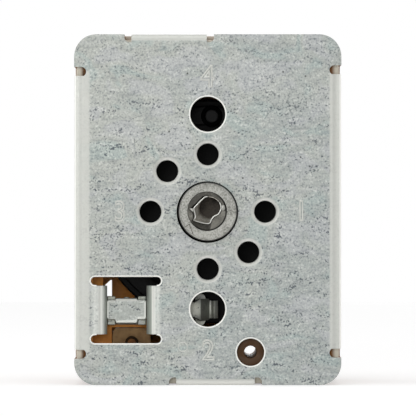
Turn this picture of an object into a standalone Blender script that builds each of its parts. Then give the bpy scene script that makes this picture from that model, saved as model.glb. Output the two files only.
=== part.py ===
"""Infinite control switch: a galvanised front plate over a phenolic housing with a cam-driven thermal switch.

Metres, +Z up, +X right as seen from the front, and the plate faces -Y. Places inside the part are given
as (x, depth, z) from the point where the shaft's axis meets the front face of the plate: depth runs
backwards, and z is measured from the shaft. place() turns them into the part's own frame, whose origin
is at the middle of the bottom.
"""

import math

import bmesh
import bpy
from mathutils import Vector

# Clearances
GAP = 0.0003
RUN_GAP = 0.0004
STOP_GAP = 0.0006
CAM_CLEARANCE = 0.0004
DRUM_CLEARANCE = 0.0018
COLLAR_CLEARANCE = 0.00065

# Sheet of the front plate and its folded edges
PLATE_CORNER = 0.0039
SHEET = 0.0010
SKIRT_REACH = 0.0080
SIDE_BEND = 0.0017
END_BEND = 0.0013
NOTCH_RADIUS = 0.00085
SIDE_NOTCH_DEPTH = 0.0021
END_NOTCH_DEPTH = 0.0014
TOP_NOTCHES = (-0.0137, 0.00024)
BOTTOM_NOTCHES = (-0.0059, 0.0086)
CATCH_WIDTH = 0.0054
CATCH_HEIGHT = 0.0022
CATCH_DEPTH = 0.0046
SIDE_CATCH_Z = 0.0040

# Holes of the front plate
SCREW_HOLE_DIAMETER = 0.0037
SCREW_HOLE_ANGLES = (0.0, 90.0, 135.0, 180.0, 270.0, 315.0)
SCREW_COLLAR_WALL = 0.0006
SCREW_COLLAR_REACH = 0.0022
PEEP_HOLE_DIAMETER = 0.0061
BOSS_HOLE_DIAMETER = 0.0048

# Window of the front plate with its two folded flaps
WINDOW_MARGIN = 0.0031
WINDOW_RISE = 0.0058
WINDOW_HEIGHT = 0.0115
SLOT_HEIGHT = 0.00148
FLAP_BEND = 0.0018
FLAP_STRAIGHT = 0.0004

# Housing
HOUSING_DEPTH = 0.0240
REAR_WALL = 0.0025
SIDE_WALL = 0.0032
TOP_WALL = 0.0030
CENTRE_BOSS_RADIUS = 0.0070
SCREW_BOSS_RADIUS = 0.0035
SCREW_BOSS_BORE = 0.0011
BARRIER_HEIGHT = 0.0022
BARRIER_WIDTH = 0.0012
LEDGE_FRONT = 0.0036
SIGHT_SLOT_WIDTH = 0.00139
SIGHT_SLOT_HEIGHT = 0.0031
SIGHT_SLOT_SLANT = 0.0011
LEDGE_RISE = 0.0025
LOW_LEDGE_BACK = 0.0090
STOP_RIB_HEIGHT = 0.0005
STOP_RIB_DEPTH = 0.0008

# Spindle
HUB_RADIUS = 0.0053
HUB_PROUD = 0.0012
FLANGE_RADIUS = 0.0069
FLANGE_THICKNESS = 0.0011
BODY_RADIUS = 0.0048
BODY_END = 0.0086
TAIL_RADIUS = 0.0025
PUSH_TRAVEL = 0.0024
SOCKET_MOUTH_RADIUS = 0.0035
SOCKET_RADIUS = 0.00305
SOCKET_SHELF = 0.0008
SOCKET_DEPTH = 0.0086
SOCKET_FLAT = 0.0022
SOCKET_FLAT_ANGLE = 132.0
LOBE_DISTANCE = 0.00283
LOBE_ANGLE = -42.0
LOBE_RADIUS = 0.0015
KEY_HEIGHT = 0.0010
KEY_WIDTH = 0.0020
KEY_LENGTH = 0.0054
CLIP_SHEET = 0.00022
CLIP_GAP = 0.00022
CLIP_DEPTH = 0.0056
SPRING_WIRE = 0.0006
SPRING_TURNS = 4.5

# Cam
CAM_FRONT = 0.0074
CAM_RADIUS = 0.0197
CAM_THICKNESS = 0.0026
CAM_HUB_WALL = 0.0029
CAM_HUB_RAISE = 0.0018
RAMP_RIM = 0.0010
RAMP_WIDTH = 0.0035
RAMP_RISE = 0.0016
CAM_TURN = 330.0
DRUM_STEP = 0.0006
DRUM_LENGTH = 0.0060
DIP_DEPTH = 0.0009
DIP_HALF_ANGLE = 9.0
CAM_RECESS_X = 0.0007
CAM_RECESS_RADIUS = 0.0012
CAM_RECESS_DEPTH = 0.0012

# Pivot bracket between the flaps, its pin and the follower lever
BRACKET_FRONT = 0.0014
BRACKET_SHEET = 0.0007
BRACKET_WIDTH = 0.00637
BRACKET_HEIGHT = 0.0031
TONGUE_WIDTH = 0.00341
TONGUE_BEND = 0.00075
TONGUE_REACH = 0.0046
CLAW_WIDTH = 0.0013
CLAW_OUT = 0.00095
CLAW_DROP = 0.0006
PIVOT_DEPTH = 0.0036
PIVOT_RADIUS = 0.0005
LEVER_SHEET = 0.0008
LEVER_FRONT = 0.0050
LEVER_WEB_WIDTH = 0.0044
LEVER_WIDTH = 0.0026
LEVER_DROP = 0.00025
LEVER_ARM_RAISE = 0.0004
EAR_SHEET = 0.0007
EAR_WIDTH = 0.0020
NOSE_X = 0.0004
NOSE_WIDTH = 0.0031
WING_WIDTH = 0.0038

# Bimetal strip with its heater, rivet and push button
RIVET_RADIUS = 0.0005
RIVET_HEAD_RADIUS = 0.00115
RIVET_HEAD = 0.0004
BIMETAL_SHEET = 0.0008
BIMETAL_STRIP_WIDTH = 0.0026
STRIP_DROP = 0.0073
HEATER_SHEET = 0.0005
HEATER_TAB_WIDTH = 0.0064
HEATER_CORNER = 0.0010
WINDING_WIRE = 0.0004
WINDING_TURNS = 6
BUTTON_X = -0.0008
BUTTON_RADIUS = 0.0010

# Main contact
SNAP_SHEET = 0.0004
SNAP_FRONT = 0.0095
SNAP_WIDTH = 0.0026
CONTACT_RADIUS = 0.0008
CONTACT_SHANK = 0.00035
CONTACT_HEAD = 0.0005
CALIBRATION_RADIUS = 0.0012
CALIBRATION_HEAD_RADIUS = 0.0022
CALIBRATION_HEAD = 0.0014

# Terminals
TAB_WIDTH = 0.0063
TAB_SHEET = 0.0008
TAB_REACH = 0.0090
TAB_TIP = 0.0012
TAB_HOLE_RADIUS = 0.0008
TAB_HOLE_FROM_TIP = 0.0040
SHOULDER_WIDTH = 0.0069

# Line contact over the drum
LINE_BLADE_SHEET = 0.0004
LINE_BLADE_WIDTH = 0.0025
LINE_CONTACT_X = 0.0086
LINE_CONTACT_OPEN = 0.0010
TOP_ROOM = 0.01154

# Pilot contact beside the drum
PILOT_BLADE_SHEET = 0.0004
PILOT_BLADE_WIDTH = 0.0022
PILOT_TAB_Z = 0.0060
PILOT_CONTACT_Z = -0.0074
PILOT_CONTACT_OPEN = 0.0006

# Roundness of the curved faces
FINE_SEGMENTS = 48
SEGMENTS = 28
COARSE_SEGMENTS = 16
BEND_STEPS = 5

# Radii of the cam and of the spindle's keys
RAMP_OUTER = CAM_RADIUS - RAMP_RIM
RAMP_INNER = RAMP_OUTER - RAMP_WIDTH
DRUM_RADIUS = RAMP_INNER - DRUM_STEP
KEY_RADIUS = BODY_RADIUS + KEY_HEIGHT
CAM_BORE = BODY_RADIUS + GAP
CAM_HUB_RADIUS = CAM_BORE + CAM_HUB_WALL
CAM_RECESS_Z = RAMP_INNER + CAM_RECESS_RADIUS + RUN_GAP

# Width of the housing and the plate, which follows from the cam
CAVITY_SIDE = CAM_RADIUS + CAM_CLEARANCE
SIDE = CAVITY_SIDE + SIDE_WALL

# The follower's works, lined up with the middle of the cam's ramp
WORKS_Z = -(RAMP_INNER + RAMP_OUTER) / 2 - LEVER_DROP
WINDOW_LEFT = WINDOW_MARGIN - SIDE
WINDOW_RIGHT = WINDOW_LEFT + BRACKET_WIDTH + 2 * (GAP + FLAP_BEND + SLOT_HEIGHT / 2)
WINDOW_TOP = WORKS_Z + WINDOW_RISE
WINDOW_BOTTOM = WINDOW_TOP - WINDOW_HEIGHT
BRACKET_TOP = WORKS_Z + BRACKET_HEIGHT / 2
BRACKET_BOTTOM = WORKS_Z - BRACKET_HEIGHT / 2
PIVOT_X = WINDOW_LEFT + 0.0060
TONGUE_LEFT = PIVOT_X - 0.00165
TONGUE_RIGHT = TONGUE_LEFT + TONGUE_WIDTH
LEVER_LEFT = PIVOT_X - EAR_WIDTH
LEVER_WEB_RIGHT = LEVER_LEFT + LEVER_WEB_WIDTH
LEVER_TOP = WORKS_Z + LEVER_WIDTH / 2
LEVER_BOTTOM = WORKS_Z - LEVER_WIDTH / 2
STRIP_Z = WORKS_Z - STRIP_DROP
LEVER_LEG_END = STRIP_Z - BIMETAL_STRIP_WIDTH / 2 - 0.0001
RIVET_X = PIVOT_X + 0.0009
RIVET_Z = STRIP_Z + 0.0016
HEATER_LEFT = LEVER_LEFT - 0.0002
HEATER_TAB_RIGHT = HEATER_LEFT + HEATER_TAB_WIDTH
HEATER_TOP = LEVER_BOTTOM - 0.00205
HEATER_RIGHT = BUTTON_X - BUTTON_RADIUS - 0.0012
BIMETAL_LEFT = HEATER_LEFT + 0.0006
BIMETAL_RIGHT = BUTTON_X + BUTTON_RADIUS + 0.0004
SNAP_RIVET_X = PIVOT_X - 0.0010
SNAP_LEFT = SNAP_RIVET_X - 0.0017
SNAP_HINGE_X = SNAP_RIVET_X + 0.0016
FOOT_RIGHT = SNAP_RIVET_X + 0.0024
CALIBRATION_X = FOOT_RIGHT + 0.0048
MAIN_CONTACT_X = BUTTON_X + 0.00235

# Terminals, bosses and ledges, set out from the works and from the housing's walls
MAIN_TAB_Z = STRIP_Z + 0.0011
FEED_TAB_X = 0.0023 - CAVITY_SIDE
LOAD_TAB_X = MAIN_CONTACT_X + 0.00135
BOSS_X = LOAD_TAB_X + TAB_SHEET + 0.00025 + SCREW_BOSS_RADIUS
BOSS_Z = STRIP_Z
LEDGE_RIGHT = 0.00175 - CAVITY_SIDE
SIGHT_SLOT_BOTTOM = WORKS_Z + 0.0020
SIGHT_SLOT_TOP = SIGHT_SLOT_BOTTOM + SIGHT_SLOT_HEIGHT
LOW_LEDGE_RIGHT = 0.0033 - CAVITY_SIDE
LOW_LEDGE_TOP = HEATER_TOP + STOP_RIB_HEIGHT + GAP
STOP_RIB_RIGHT = HEATER_TAB_RIGHT - 0.0002
LINE_BLADE_Z = DRUM_RADIUS + DRUM_CLEARANCE
LINE_TAB_X = 0.00665 - CAVITY_SIDE
LINE_BLADE_LEFT = LINE_TAB_X - 0.00255
LINE_HINGE_X = LINE_TAB_X + 0.00285
LINE_BLADE_RIGHT = LINE_CONTACT_X + 0.0014
PILOT_BLADE_X = DRUM_RADIUS + DRUM_CLEARANCE
PILOT_BLADE_TOP = PILOT_TAB_Z + 0.0032
PILOT_HINGE_Z = PILOT_TAB_Z - 0.0024
PILOT_BLADE_BOTTOM = PILOT_CONTACT_Z - 0.0014

# Places that follow from the sizes above
TAB_END = HOUSING_DEPTH + TAB_REACH
FRONT_Y = -(TAB_END - HUB_PROUD) / 2
HOUSING_FRONT = SHEET + GAP
REAR_WALL_FRONT = HOUSING_DEPTH - REAR_WALL
POCKET = SHEET + RUN_GAP
FLAP_REACH = FLAP_BEND + FLAP_STRAIGHT
CAM_BACK = CAM_FRONT + CAM_THICKNESS
DRUM_BACK = CAM_BACK + DRUM_LENGTH
CENTRE_BOSS_FRONT = DRUM_BACK + GAP
TAIL_END = REAR_WALL_FRONT - STOP_GAP - PUSH_TRAVEL
LEVER_BACK = LEVER_FRONT + LEVER_SHEET
NOSE_BACK = CAM_FRONT - GAP
BIMETAL_FRONT = LEVER_FRONT - GAP - BIMETAL_SHEET
HEATER_FRONT = BIMETAL_FRONT - GAP - HEATER_SHEET
BUTTON_FRONT = BIMETAL_FRONT + BIMETAL_SHEET + GAP
SNAP_BACK = SNAP_FRONT + SNAP_SHEET
FOOT_FRONT = SNAP_BACK + GAP
MAIN_MOVING_TIP = SNAP_FRONT - GAP - CONTACT_HEAD
MAIN_FIXED_TIP = MAIN_MOVING_TIP - GAP
LOAD_ARM_BACK = MAIN_FIXED_TIP - CONTACT_HEAD - GAP
LOAD_ARM_FRONT = LOAD_ARM_BACK - TAB_SHEET
TRACK_WIDTH = DRUM_LENGTH / 2
LINE_DEPTH = DRUM_BACK - TRACK_WIDTH / 2
PILOT_DEPTH = CAM_BACK + TRACK_WIDTH / 2 + GAP / 2
LINE_BLADE_TOP = LINE_BLADE_Z + LINE_BLADE_SHEET
LINE_TAB_BOTTOM = LINE_BLADE_TOP + GAP
LINE_MOVING_TIP = LINE_BLADE_TOP + GAP + CONTACT_HEAD
LINE_FIXED_TIP = LINE_MOVING_TIP + LINE_CONTACT_OPEN
FIXED_TAB_BOTTOM = LINE_FIXED_TIP + CONTACT_HEAD + GAP
PILOT_BLADE_OUT = PILOT_BLADE_X + PILOT_BLADE_SHEET
PILOT_TAB_IN = PILOT_BLADE_OUT + GAP
PILOT_MOVING_TIP = PILOT_BLADE_OUT + GAP + CONTACT_HEAD
PILOT_FIXED_TIP = PILOT_MOVING_TIP + PILOT_CONTACT_OPEN
PILOT_FIXED_TAB_IN = PILOT_FIXED_TIP + CONTACT_HEAD + GAP

# Height of the housing and the plate, with the notches near its corners
BOTTOM = STRIP_Z - 0.00276 - TOP_WALL
TOP = FIXED_TAB_BOTTOM + TOP_ROOM
SHAFT_Z = -BOTTOM
CAVITY_TOP = TOP - TOP_WALL
CAVITY_BOTTOM = BOTTOM + TOP_WALL
LEFT_NOTCHES = (BOTTOM + 0.00546, TOP - 0.00654)
RIGHT_NOTCHES = (BOTTOM + 0.00566, TOP - 0.00624)

# Holes around the shaft
SCREW_CIRCLE_RADIUS = FLANGE_RADIUS + COLLAR_CLEARANCE + SCREW_COLLAR_WALL + SCREW_HOLE_DIAMETER / 2
PEEP_HOLE_OFFSET = SCREW_CIRCLE_RADIUS + SCREW_HOLE_DIAMETER / 2 + 0.0021 + PEEP_HOLE_DIAMETER / 2

# Colours, roughness and metal of the materials
ZINC = ((0.42, 0.45, 0.43), 0.45, 0.9)
HUB_METAL = ((0.36, 0.35, 0.33), 0.4, 1.0)
SPRING_STEEL = ((0.50, 0.50, 0.48), 0.3, 1.0)
PHENOLIC = ((0.20, 0.085, 0.025), 0.5, 0.0)
BLACK_PLASTIC = ((0.012, 0.012, 0.013), 0.45, 0.0)
BRASS = ((0.60, 0.42, 0.14), 0.35, 1.0)
COPPER = ((0.50, 0.20, 0.08), 0.35, 1.0)
BRONZE = ((0.45, 0.26, 0.10), 0.35, 1.0)
MICA = ((0.10, 0.06, 0.03), 0.6, 0.0)
SILVER = ((0.65, 0.64, 0.60), 0.3, 1.0)
CERAMIC = ((0.75, 0.72, 0.65), 0.5, 0.0)
NICHROME = ((0.25, 0.24, 0.22), 0.4, 1.0)
STEEL = ((0.40, 0.40, 0.41), 0.4, 1.0)


def place(axis, u, v, w):
    """Point of the part for flat coordinates (u, v) and a height w along the axis X, D (depth) or Z."""
    if axis == "D":
        x, depth, z = u, w, v
    elif axis == "X":
        x, depth, z = w, u, v
    else:
        x, depth, z = u, v, w
    return Vector((x, FRONT_Y + depth, SHAFT_Z + z))


def circle(centre, radius, count):
    """Points of a circle in flat coordinates."""
    turns = [math.tau * step / count for step in range(count)]
    return [(centre[0] + radius * math.cos(turn), centre[1] + radius * math.sin(turn)) for turn in turns]


def arc(centre, radius, start, end, steps):
    """Points of an arc from one angle to another, in degrees."""
    turns = [math.radians(start + (end - start) * step / steps) for step in range(steps + 1)]
    return [(centre[0] + radius * math.cos(turn), centre[1] + radius * math.sin(turn)) for turn in turns]


def rounded(left, right, low, high, radius, steps):
    """A rectangle with round corners."""
    points = arc((right - radius, high - radius), radius, 0, 90, steps)
    points += arc((left + radius, high - radius), radius, 90, 180, steps)
    points += arc((left + radius, low + radius), radius, 180, 270, steps)
    points += arc((right - radius, low + radius), radius, 270, 360, steps)
    return points


def rectangle(left, right, low, high):
    """A plain rectangle."""
    return [(left, low), (right, low), (right, high), (left, high)]


def thicken(path, thickness):
    """Outline of a strip that lies to the left of its path and has square bends."""
    count = len(path)
    normals = []
    for (ax, ay), (bx, by) in zip(path, path[1:]):
        length = math.hypot(bx - ax, by - ay)
        normals.append((-(by - ay) / length, (bx - ax) / length))
    offset = []
    for index, (x, y) in enumerate(path):
        before = normals[max(index - 1, 0)]
        after = normals[min(index, count - 2)]
        middle = (before[0] + after[0], before[1] + after[1])
        share = thickness / (1 + before[0] * after[0] + before[1] * after[1])
        offset.append((x + middle[0] * share, y + middle[1] * share))
    return path + offset[::-1]


def new_faces(bm, loops, axis, level):
    """Fills an outline and its holes at one level and returns the faces with the outline's corners."""
    edges = []
    rings = []
    for loop in loops:
        verts = [bm.verts.new(place(axis, u, v, level)) for u, v in loop]
        edges += [bm.edges.new((verts[index - 1], verts[index])) for index in range(len(verts))]
        rings.append(verts)
    filled = bmesh.ops.triangle_fill(bm, edges=edges, use_beauty=True, use_dissolve=False)
    faces = [item for item in filled["geom"] if isinstance(item, bmesh.types.BMFace)]
    return faces, rings


def add_flat(bm, loops, axis, low, high):
    """Adds a flat body: an outline with holes, extruded from one level to another."""
    faces, _ = new_faces(bm, loops, axis, low)
    grown = bmesh.ops.extrude_face_region(bm, geom=faces, use_keep_orig=True)
    moved = [item for item in grown["geom"] if isinstance(item, bmesh.types.BMVert)]
    bmesh.ops.translate(bm, verts=moved, vec=place(axis, 0, 0, high) - place(axis, 0, 0, low))


def add_box(bm, x_range, depth_range, z_range):
    """Adds a block between two x, two depths and two heights."""
    outline = rectangle(x_range[0], x_range[1], z_range[0], z_range[1])
    add_flat(bm, [outline], "D", depth_range[0], depth_range[1])


def add_rod(bm, axis, centre, radius, low, high, segments=SEGMENTS):
    """Adds a round rod along an axis."""
    add_flat(bm, [circle(centre, radius, segments)], axis, low, high)


def add_turned(bm, profile, axis, centre, segments=SEGMENTS):
    """Adds a turned body. The profile's points are (radius, height), from the axis back to the axis."""
    spine = place(axis, centre[0], centre[1], 0)
    outward = place(axis, centre[0] + 1, centre[1], 0) - spine
    along = place(axis, centre[0], centre[1], 1) - spine
    verts = [bm.verts.new(spine + outward * radius + along * height) for radius, height in profile]
    edges = [bm.edges.new(pair) for pair in zip(verts, verts[1:])]
    bmesh.ops.spin(
        bm, geom=verts + edges, cent=spine, axis=along, angle=math.tau, steps=segments, use_merge=True
    )
    bmesh.ops.remove_doubles(bm, verts=bm.verts[:], dist=1e-7)


def make(name, bm, finish=None):
    """Turns the working mesh into an object with its own material, or into a hidden helper without one."""
    bmesh.ops.recalc_face_normals(bm, faces=bm.faces[:])
    mesh = bpy.data.meshes.new(name)
    bm.to_mesh(mesh)
    bm.free()
    mesh.shade_smooth()
    mesh.set_sharp_from_angle(angle=math.radians(35))
    made = bpy.data.objects.new(name, mesh)
    bpy.context.scene.collection.objects.link(made)
    if finish:
        dress(made, finish)
    else:
        made.hide_render = True
        made.display_type = "WIRE"
    return made


def dress(target, finish):
    """Gives an object a material of its own."""
    colour, roughness, metallic = finish
    material = bpy.data.materials.new(target.name)
    material.use_nodes = True
    shader = material.node_tree.nodes["Principled BSDF"]
    shader.inputs["Base Color"].default_value = (*colour, 1)
    shader.inputs["Roughness"].default_value = roughness
    shader.inputs["Metallic"].default_value = metallic
    material.diffuse_color = (*colour, 1)
    target.data.materials.append(material)


def join(target, helper, operation):
    """Adds a Boolean of a helper to a target: UNION or DIFFERENCE."""
    modifier = target.modifiers.new(helper.name, "BOOLEAN")
    modifier.operation = operation
    modifier.object = helper
    modifier.solver = "EXACT"
    modifier.use_self = True


def carry(parent, *children):
    """Parents pieces to an empty on their joint's axis and leaves them where they are."""
    for child in children:
        child.parent = parent
        child.matrix_parent_inverse = parent.matrix_world.inverted()


def axis_empty(name, axis, u, v, w):
    """Makes the empty that a moving body hangs on."""
    empty = bpy.data.objects.new(name, None)
    empty.location = place(axis, u, v, w)
    empty.empty_display_size = 0.005
    bpy.context.scene.collection.objects.link(empty)
    bpy.context.view_layer.update()
    return empty


def notched_side(length_start, length_end, notches, bend, depth):
    """One side of the plate's outline, as (along, inward) points, with the places of the folded edge."""
    inset = depth - NOTCH_RADIUS
    stop = math.degrees(math.acos((bend - inset) / NOTCH_RADIUS))
    first = [(length_start, 0), (notches[0] - NOTCH_RADIUS, 0)]
    # The round end of a notch turns from the outer side of the notch to the folded edge.
    for step in range(7):
        turn = math.radians(180 - (180 - (90 - stop)) * step / 6)
        first.append((notches[0] + NOTCH_RADIUS * math.cos(turn), inset + NOTCH_RADIUS * math.sin(turn)))
    middle = (notches[0] + notches[1]) / 2
    second = [(2 * middle - along, inward) for along, inward in reversed(first)]
    second[-1] = (length_end, 0)
    return first + second, len(first) - 1


def side_notches(side, corner_free):
    """Outline points of the four sides with their notches, in order round the plate."""
    if side == "bottom":
        points, fold = notched_side(-corner_free[0], corner_free[0], BOTTOM_NOTCHES, END_BEND, END_NOTCH_DEPTH)
        return [(along, BOTTOM + inward) for along, inward in points], fold
    if side == "right":
        points, fold = notched_side(corner_free[1], corner_free[2], RIGHT_NOTCHES, SIDE_BEND, SIDE_NOTCH_DEPTH)
        return [(SIDE - inward, along) for along, inward in points], fold
    if side == "top":
        flipped = (-TOP_NOTCHES[1], -TOP_NOTCHES[0])
        points, fold = notched_side(-corner_free[0], corner_free[0], flipped, END_BEND, END_NOTCH_DEPTH)
        return [(-along, TOP - inward) for along, inward in points], fold
    flipped = (-LEFT_NOTCHES[1], -LEFT_NOTCHES[0])
    points, fold = notched_side(-corner_free[2], -corner_free[1], flipped, SIDE_BEND, SIDE_NOTCH_DEPTH)
    return [(-SIDE + inward, -along) for along, inward in points], fold


def plate_outline():
    """Outline of the flat face, and the numbers of the first corners of the four folded edges."""
    free = (SIDE - PLATE_CORNER, BOTTOM + PLATE_CORNER, TOP - PLATE_CORNER)
    corners = {
        "bottom": ((SIDE - PLATE_CORNER, BOTTOM + PLATE_CORNER), 270),
        "right": ((SIDE - PLATE_CORNER, TOP - PLATE_CORNER), 0),
        "top": ((PLATE_CORNER - SIDE, TOP - PLATE_CORNER), 90),
        "left": ((PLATE_CORNER - SIDE, BOTTOM + PLATE_CORNER), 180),
    }
    outline = []
    folds = {}
    for side, (centre, start) in corners.items():
        points, fold = side_notches(side, free)
        folds[side] = len(outline) + fold
        outline += points
        outline += arc(centre, PLATE_CORNER, start, start + 90, 8)[1:-1]
    return outline, folds


def window_outline():
    """Outline of the window, and the numbers of the two edges where its flaps start."""
    half = SLOT_HEIGHT / 2
    left = WINDOW_LEFT + half
    right = WINDOW_RIGHT - half
    upper = WINDOW_TOP - half
    lower = WINDOW_BOTTOM + half
    points = arc((left, upper), half, 270, 90, 8)
    points += arc((right, upper), half, 90, -90, 8)
    points += arc((right, lower), half, 90, -90, 8)
    points += arc((left, lower), half, -90, -270, 8)
    return points


def screw_hole_centres():
    """Centres of the small holes around the shaft."""
    turns = [math.radians(angle) for angle in SCREW_HOLE_ANGLES]
    return [(SCREW_CIRCLE_RADIUS * math.cos(turn), SCREW_CIRCLE_RADIUS * math.sin(turn)) for turn in turns]


def plate_holes():
    """Outlines of the plain round holes of the front plate."""
    holes = [circle((0, PEEP_HOLE_OFFSET), PEEP_HOLE_DIAMETER / 2, 32)]
    holes.append(circle((0, -PEEP_HOLE_OFFSET), PEEP_HOLE_DIAMETER / 2, 32))
    holes.append(circle((BOSS_X, BOSS_Z), BOSS_HOLE_DIAMETER / 2, 28))
    holes.append(circle((0, 0), HUB_RADIUS + GAP, FINE_SEGMENTS))
    return holes


def fold(bm, pair, bend, reach, inward):
    """Bends a sheet edge a quarter turn backwards and lengthens it to its reach."""
    edge = bm.edges.get(pair) or bm.edges.new(pair)
    along = (pair[1].co - pair[0].co).normalized()
    centre = pair[0].co + Vector((0, bend, 0))
    turn = math.pi / 2
    if along.cross(Vector((0, -1, 0))).dot(inward) > 0:
        turn = -turn
    bent = bmesh.ops.spin(
        bm, geom=[edge, *pair], cent=centre, axis=along, angle=turn, steps=BEND_STEPS
    )
    last = [item for item in bent["geom_last"] if isinstance(item, bmesh.types.BMEdge)]
    straight = bmesh.ops.extrude_edge_only(bm, edges=last)
    moved = [item for item in straight["geom"] if isinstance(item, bmesh.types.BMVert)]
    bmesh.ops.translate(bm, verts=moved, vec=(0, reach - bend, 0))


def solidify(target, thickness):
    """Gives a sheet its thickness, behind its outer face."""
    modifier = target.modifiers.new("sheet", "SOLIDIFY")
    modifier.thickness = thickness
    modifier.offset = -1
    modifier.use_even_offset = True


def make_sheet(name, bm, thickness, finish):
    """Finishes a single-faced sheet whose front looks to -Y, and thickens it."""
    bmesh.ops.recalc_face_normals(bm, faces=bm.faces[:])
    flat = [face for face in bm.faces if abs(face.normal.y) > 0.99]
    if sum(face.normal.y * face.calc_area() for face in flat) > 0:
        bmesh.ops.reverse_faces(bm, faces=bm.faces[:])
    mesh = bpy.data.meshes.new(name)
    bm.to_mesh(mesh)
    bm.free()
    mesh.shade_smooth()
    mesh.set_sharp_from_angle(angle=math.radians(35))
    made = bpy.data.objects.new(name, mesh)
    bpy.context.scene.collection.objects.link(made)
    dress(made, finish)
    solidify(made, thickness)
    return made


def build_front_plate():
    """Sheet-metal front plate: flat face, four folded skirts, two folded flaps and catch windows."""
    bm = bmesh.new()
    outline, folds = plate_outline()
    window = window_outline()
    _, rings = new_faces(bm, [outline, window, *plate_holes()], "D", 0)
    edge, opening = rings[0], rings[1]
    sides = {"bottom": (0, 0, 1), "right": (-1, 0, 0), "top": (0, 0, -1), "left": (1, 0, 0)}
    bends = {"bottom": END_BEND, "right": SIDE_BEND, "top": END_BEND, "left": SIDE_BEND}
    for side, first in folds.items():
        pair = (edge[first], edge[first + 1])
        fold(bm, pair, bends[side], SKIRT_REACH, Vector(sides[side]))
    # The window's arcs have nine points each: the flaps start between the second and third, and at the ends.
    fold(bm, (opening[17], opening[18]), FLAP_BEND, FLAP_REACH, Vector((1, 0, 0)))
    fold(bm, (opening[35], opening[0]), FLAP_BEND, FLAP_REACH, Vector((-1, 0, 0)))
    plate = make_sheet("front_plate", bm, SHEET, ZINC)
    collars = bmesh.new()
    for centre in screw_hole_centres():
        outer = SCREW_HOLE_DIAMETER / 2 + SCREW_COLLAR_WALL
        add_rod(collars, "D", centre, outer, SHEET / 2, SCREW_COLLAR_REACH, 24)
    join(plate, make("collar_addition", collars), "UNION")
    cutter = bmesh.new()
    for centre in screw_hole_centres():
        add_rod(cutter, "D", centre, SCREW_HOLE_DIAMETER / 2, -SHEET, SCREW_COLLAR_REACH + SHEET, 24)
    for box in catch_boxes(0, SHEET * 2):
        add_box(cutter, *box)
    join(plate, make("plate_hole_cutter", cutter), "DIFFERENCE")
    return plate


def catch_boxes(trim, length):
    """The four catch windows, or with a trim and a length the bosses that stand in them."""
    half = CATCH_WIDTH / 2 - trim
    depth = (CATCH_DEPTH + trim, CATCH_DEPTH + CATCH_HEIGHT - trim)
    inner = SHEET * 1.9
    outer = length - inner
    middle_z = (SIDE_CATCH_Z - half, SIDE_CATCH_Z + half)
    top_x = sum(TOP_NOTCHES) / 2
    bottom_x = sum(BOTTOM_NOTCHES) / 2
    return [
        ((-SIDE - outer, -SIDE + inner), depth, middle_z),
        ((SIDE - inner, SIDE + outer), depth, middle_z),
        ((top_x - half, top_x + half), depth, (TOP - inner, TOP + outer)),
        ((bottom_x - half, bottom_x + half), depth, (BOTTOM - outer, BOTTOM + inner)),
    ]


def pocket_boxes():
    """Recesses in the housing's sides that take the plate's folded skirts."""
    depth = (HOUSING_FRONT - SHEET, SKIRT_REACH + RUN_GAP)
    past = SHEET
    spread = NOTCH_RADIUS
    return [
        ((-SIDE - past, -SIDE + POCKET), depth, (LEFT_NOTCHES[0] - spread, LEFT_NOTCHES[1] + spread)),
        ((SIDE - POCKET, SIDE + past), depth, (RIGHT_NOTCHES[0] - spread, RIGHT_NOTCHES[1] + spread)),
        ((TOP_NOTCHES[0] - spread, TOP_NOTCHES[1] + spread), depth, (TOP - POCKET, TOP + past)),
        ((BOTTOM_NOTCHES[0] - spread, BOTTOM_NOTCHES[1] + spread), depth, (BOTTOM - past, BOTTOM + POCKET)),
    ]


def terminal_slots():
    """Slots in the rear wall for the six terminals, each wider than its blade by the gap."""
    half = TAB_WIDTH / 2 + GAP
    depth = (REAR_WALL_FRONT - SHEET, HOUSING_DEPTH + BARRIER_HEIGHT + SHEET)
    sheet = TAB_SHEET + GAP
    return [
        ((FEED_TAB_X - GAP, FEED_TAB_X + sheet), depth, (MAIN_TAB_Z - half, MAIN_TAB_Z + half)),
        ((LOAD_TAB_X - GAP, LOAD_TAB_X + sheet), depth, (MAIN_TAB_Z - half, MAIN_TAB_Z + half)),
        ((LINE_TAB_X - half, LINE_TAB_X + half), depth, (LINE_TAB_BOTTOM - GAP, LINE_TAB_BOTTOM + sheet)),
        ((LINE_CONTACT_X - half, LINE_CONTACT_X + half), depth,
         (FIXED_TAB_BOTTOM - GAP, FIXED_TAB_BOTTOM + sheet)),
        ((PILOT_TAB_IN - GAP, PILOT_TAB_IN + sheet), depth, (PILOT_TAB_Z - half, PILOT_TAB_Z + half)),
        ((PILOT_FIXED_TAB_IN - GAP, PILOT_FIXED_TAB_IN + sheet), depth,
         (PILOT_CONTACT_Z - half, PILOT_CONTACT_Z + half)),
    ]


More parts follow.
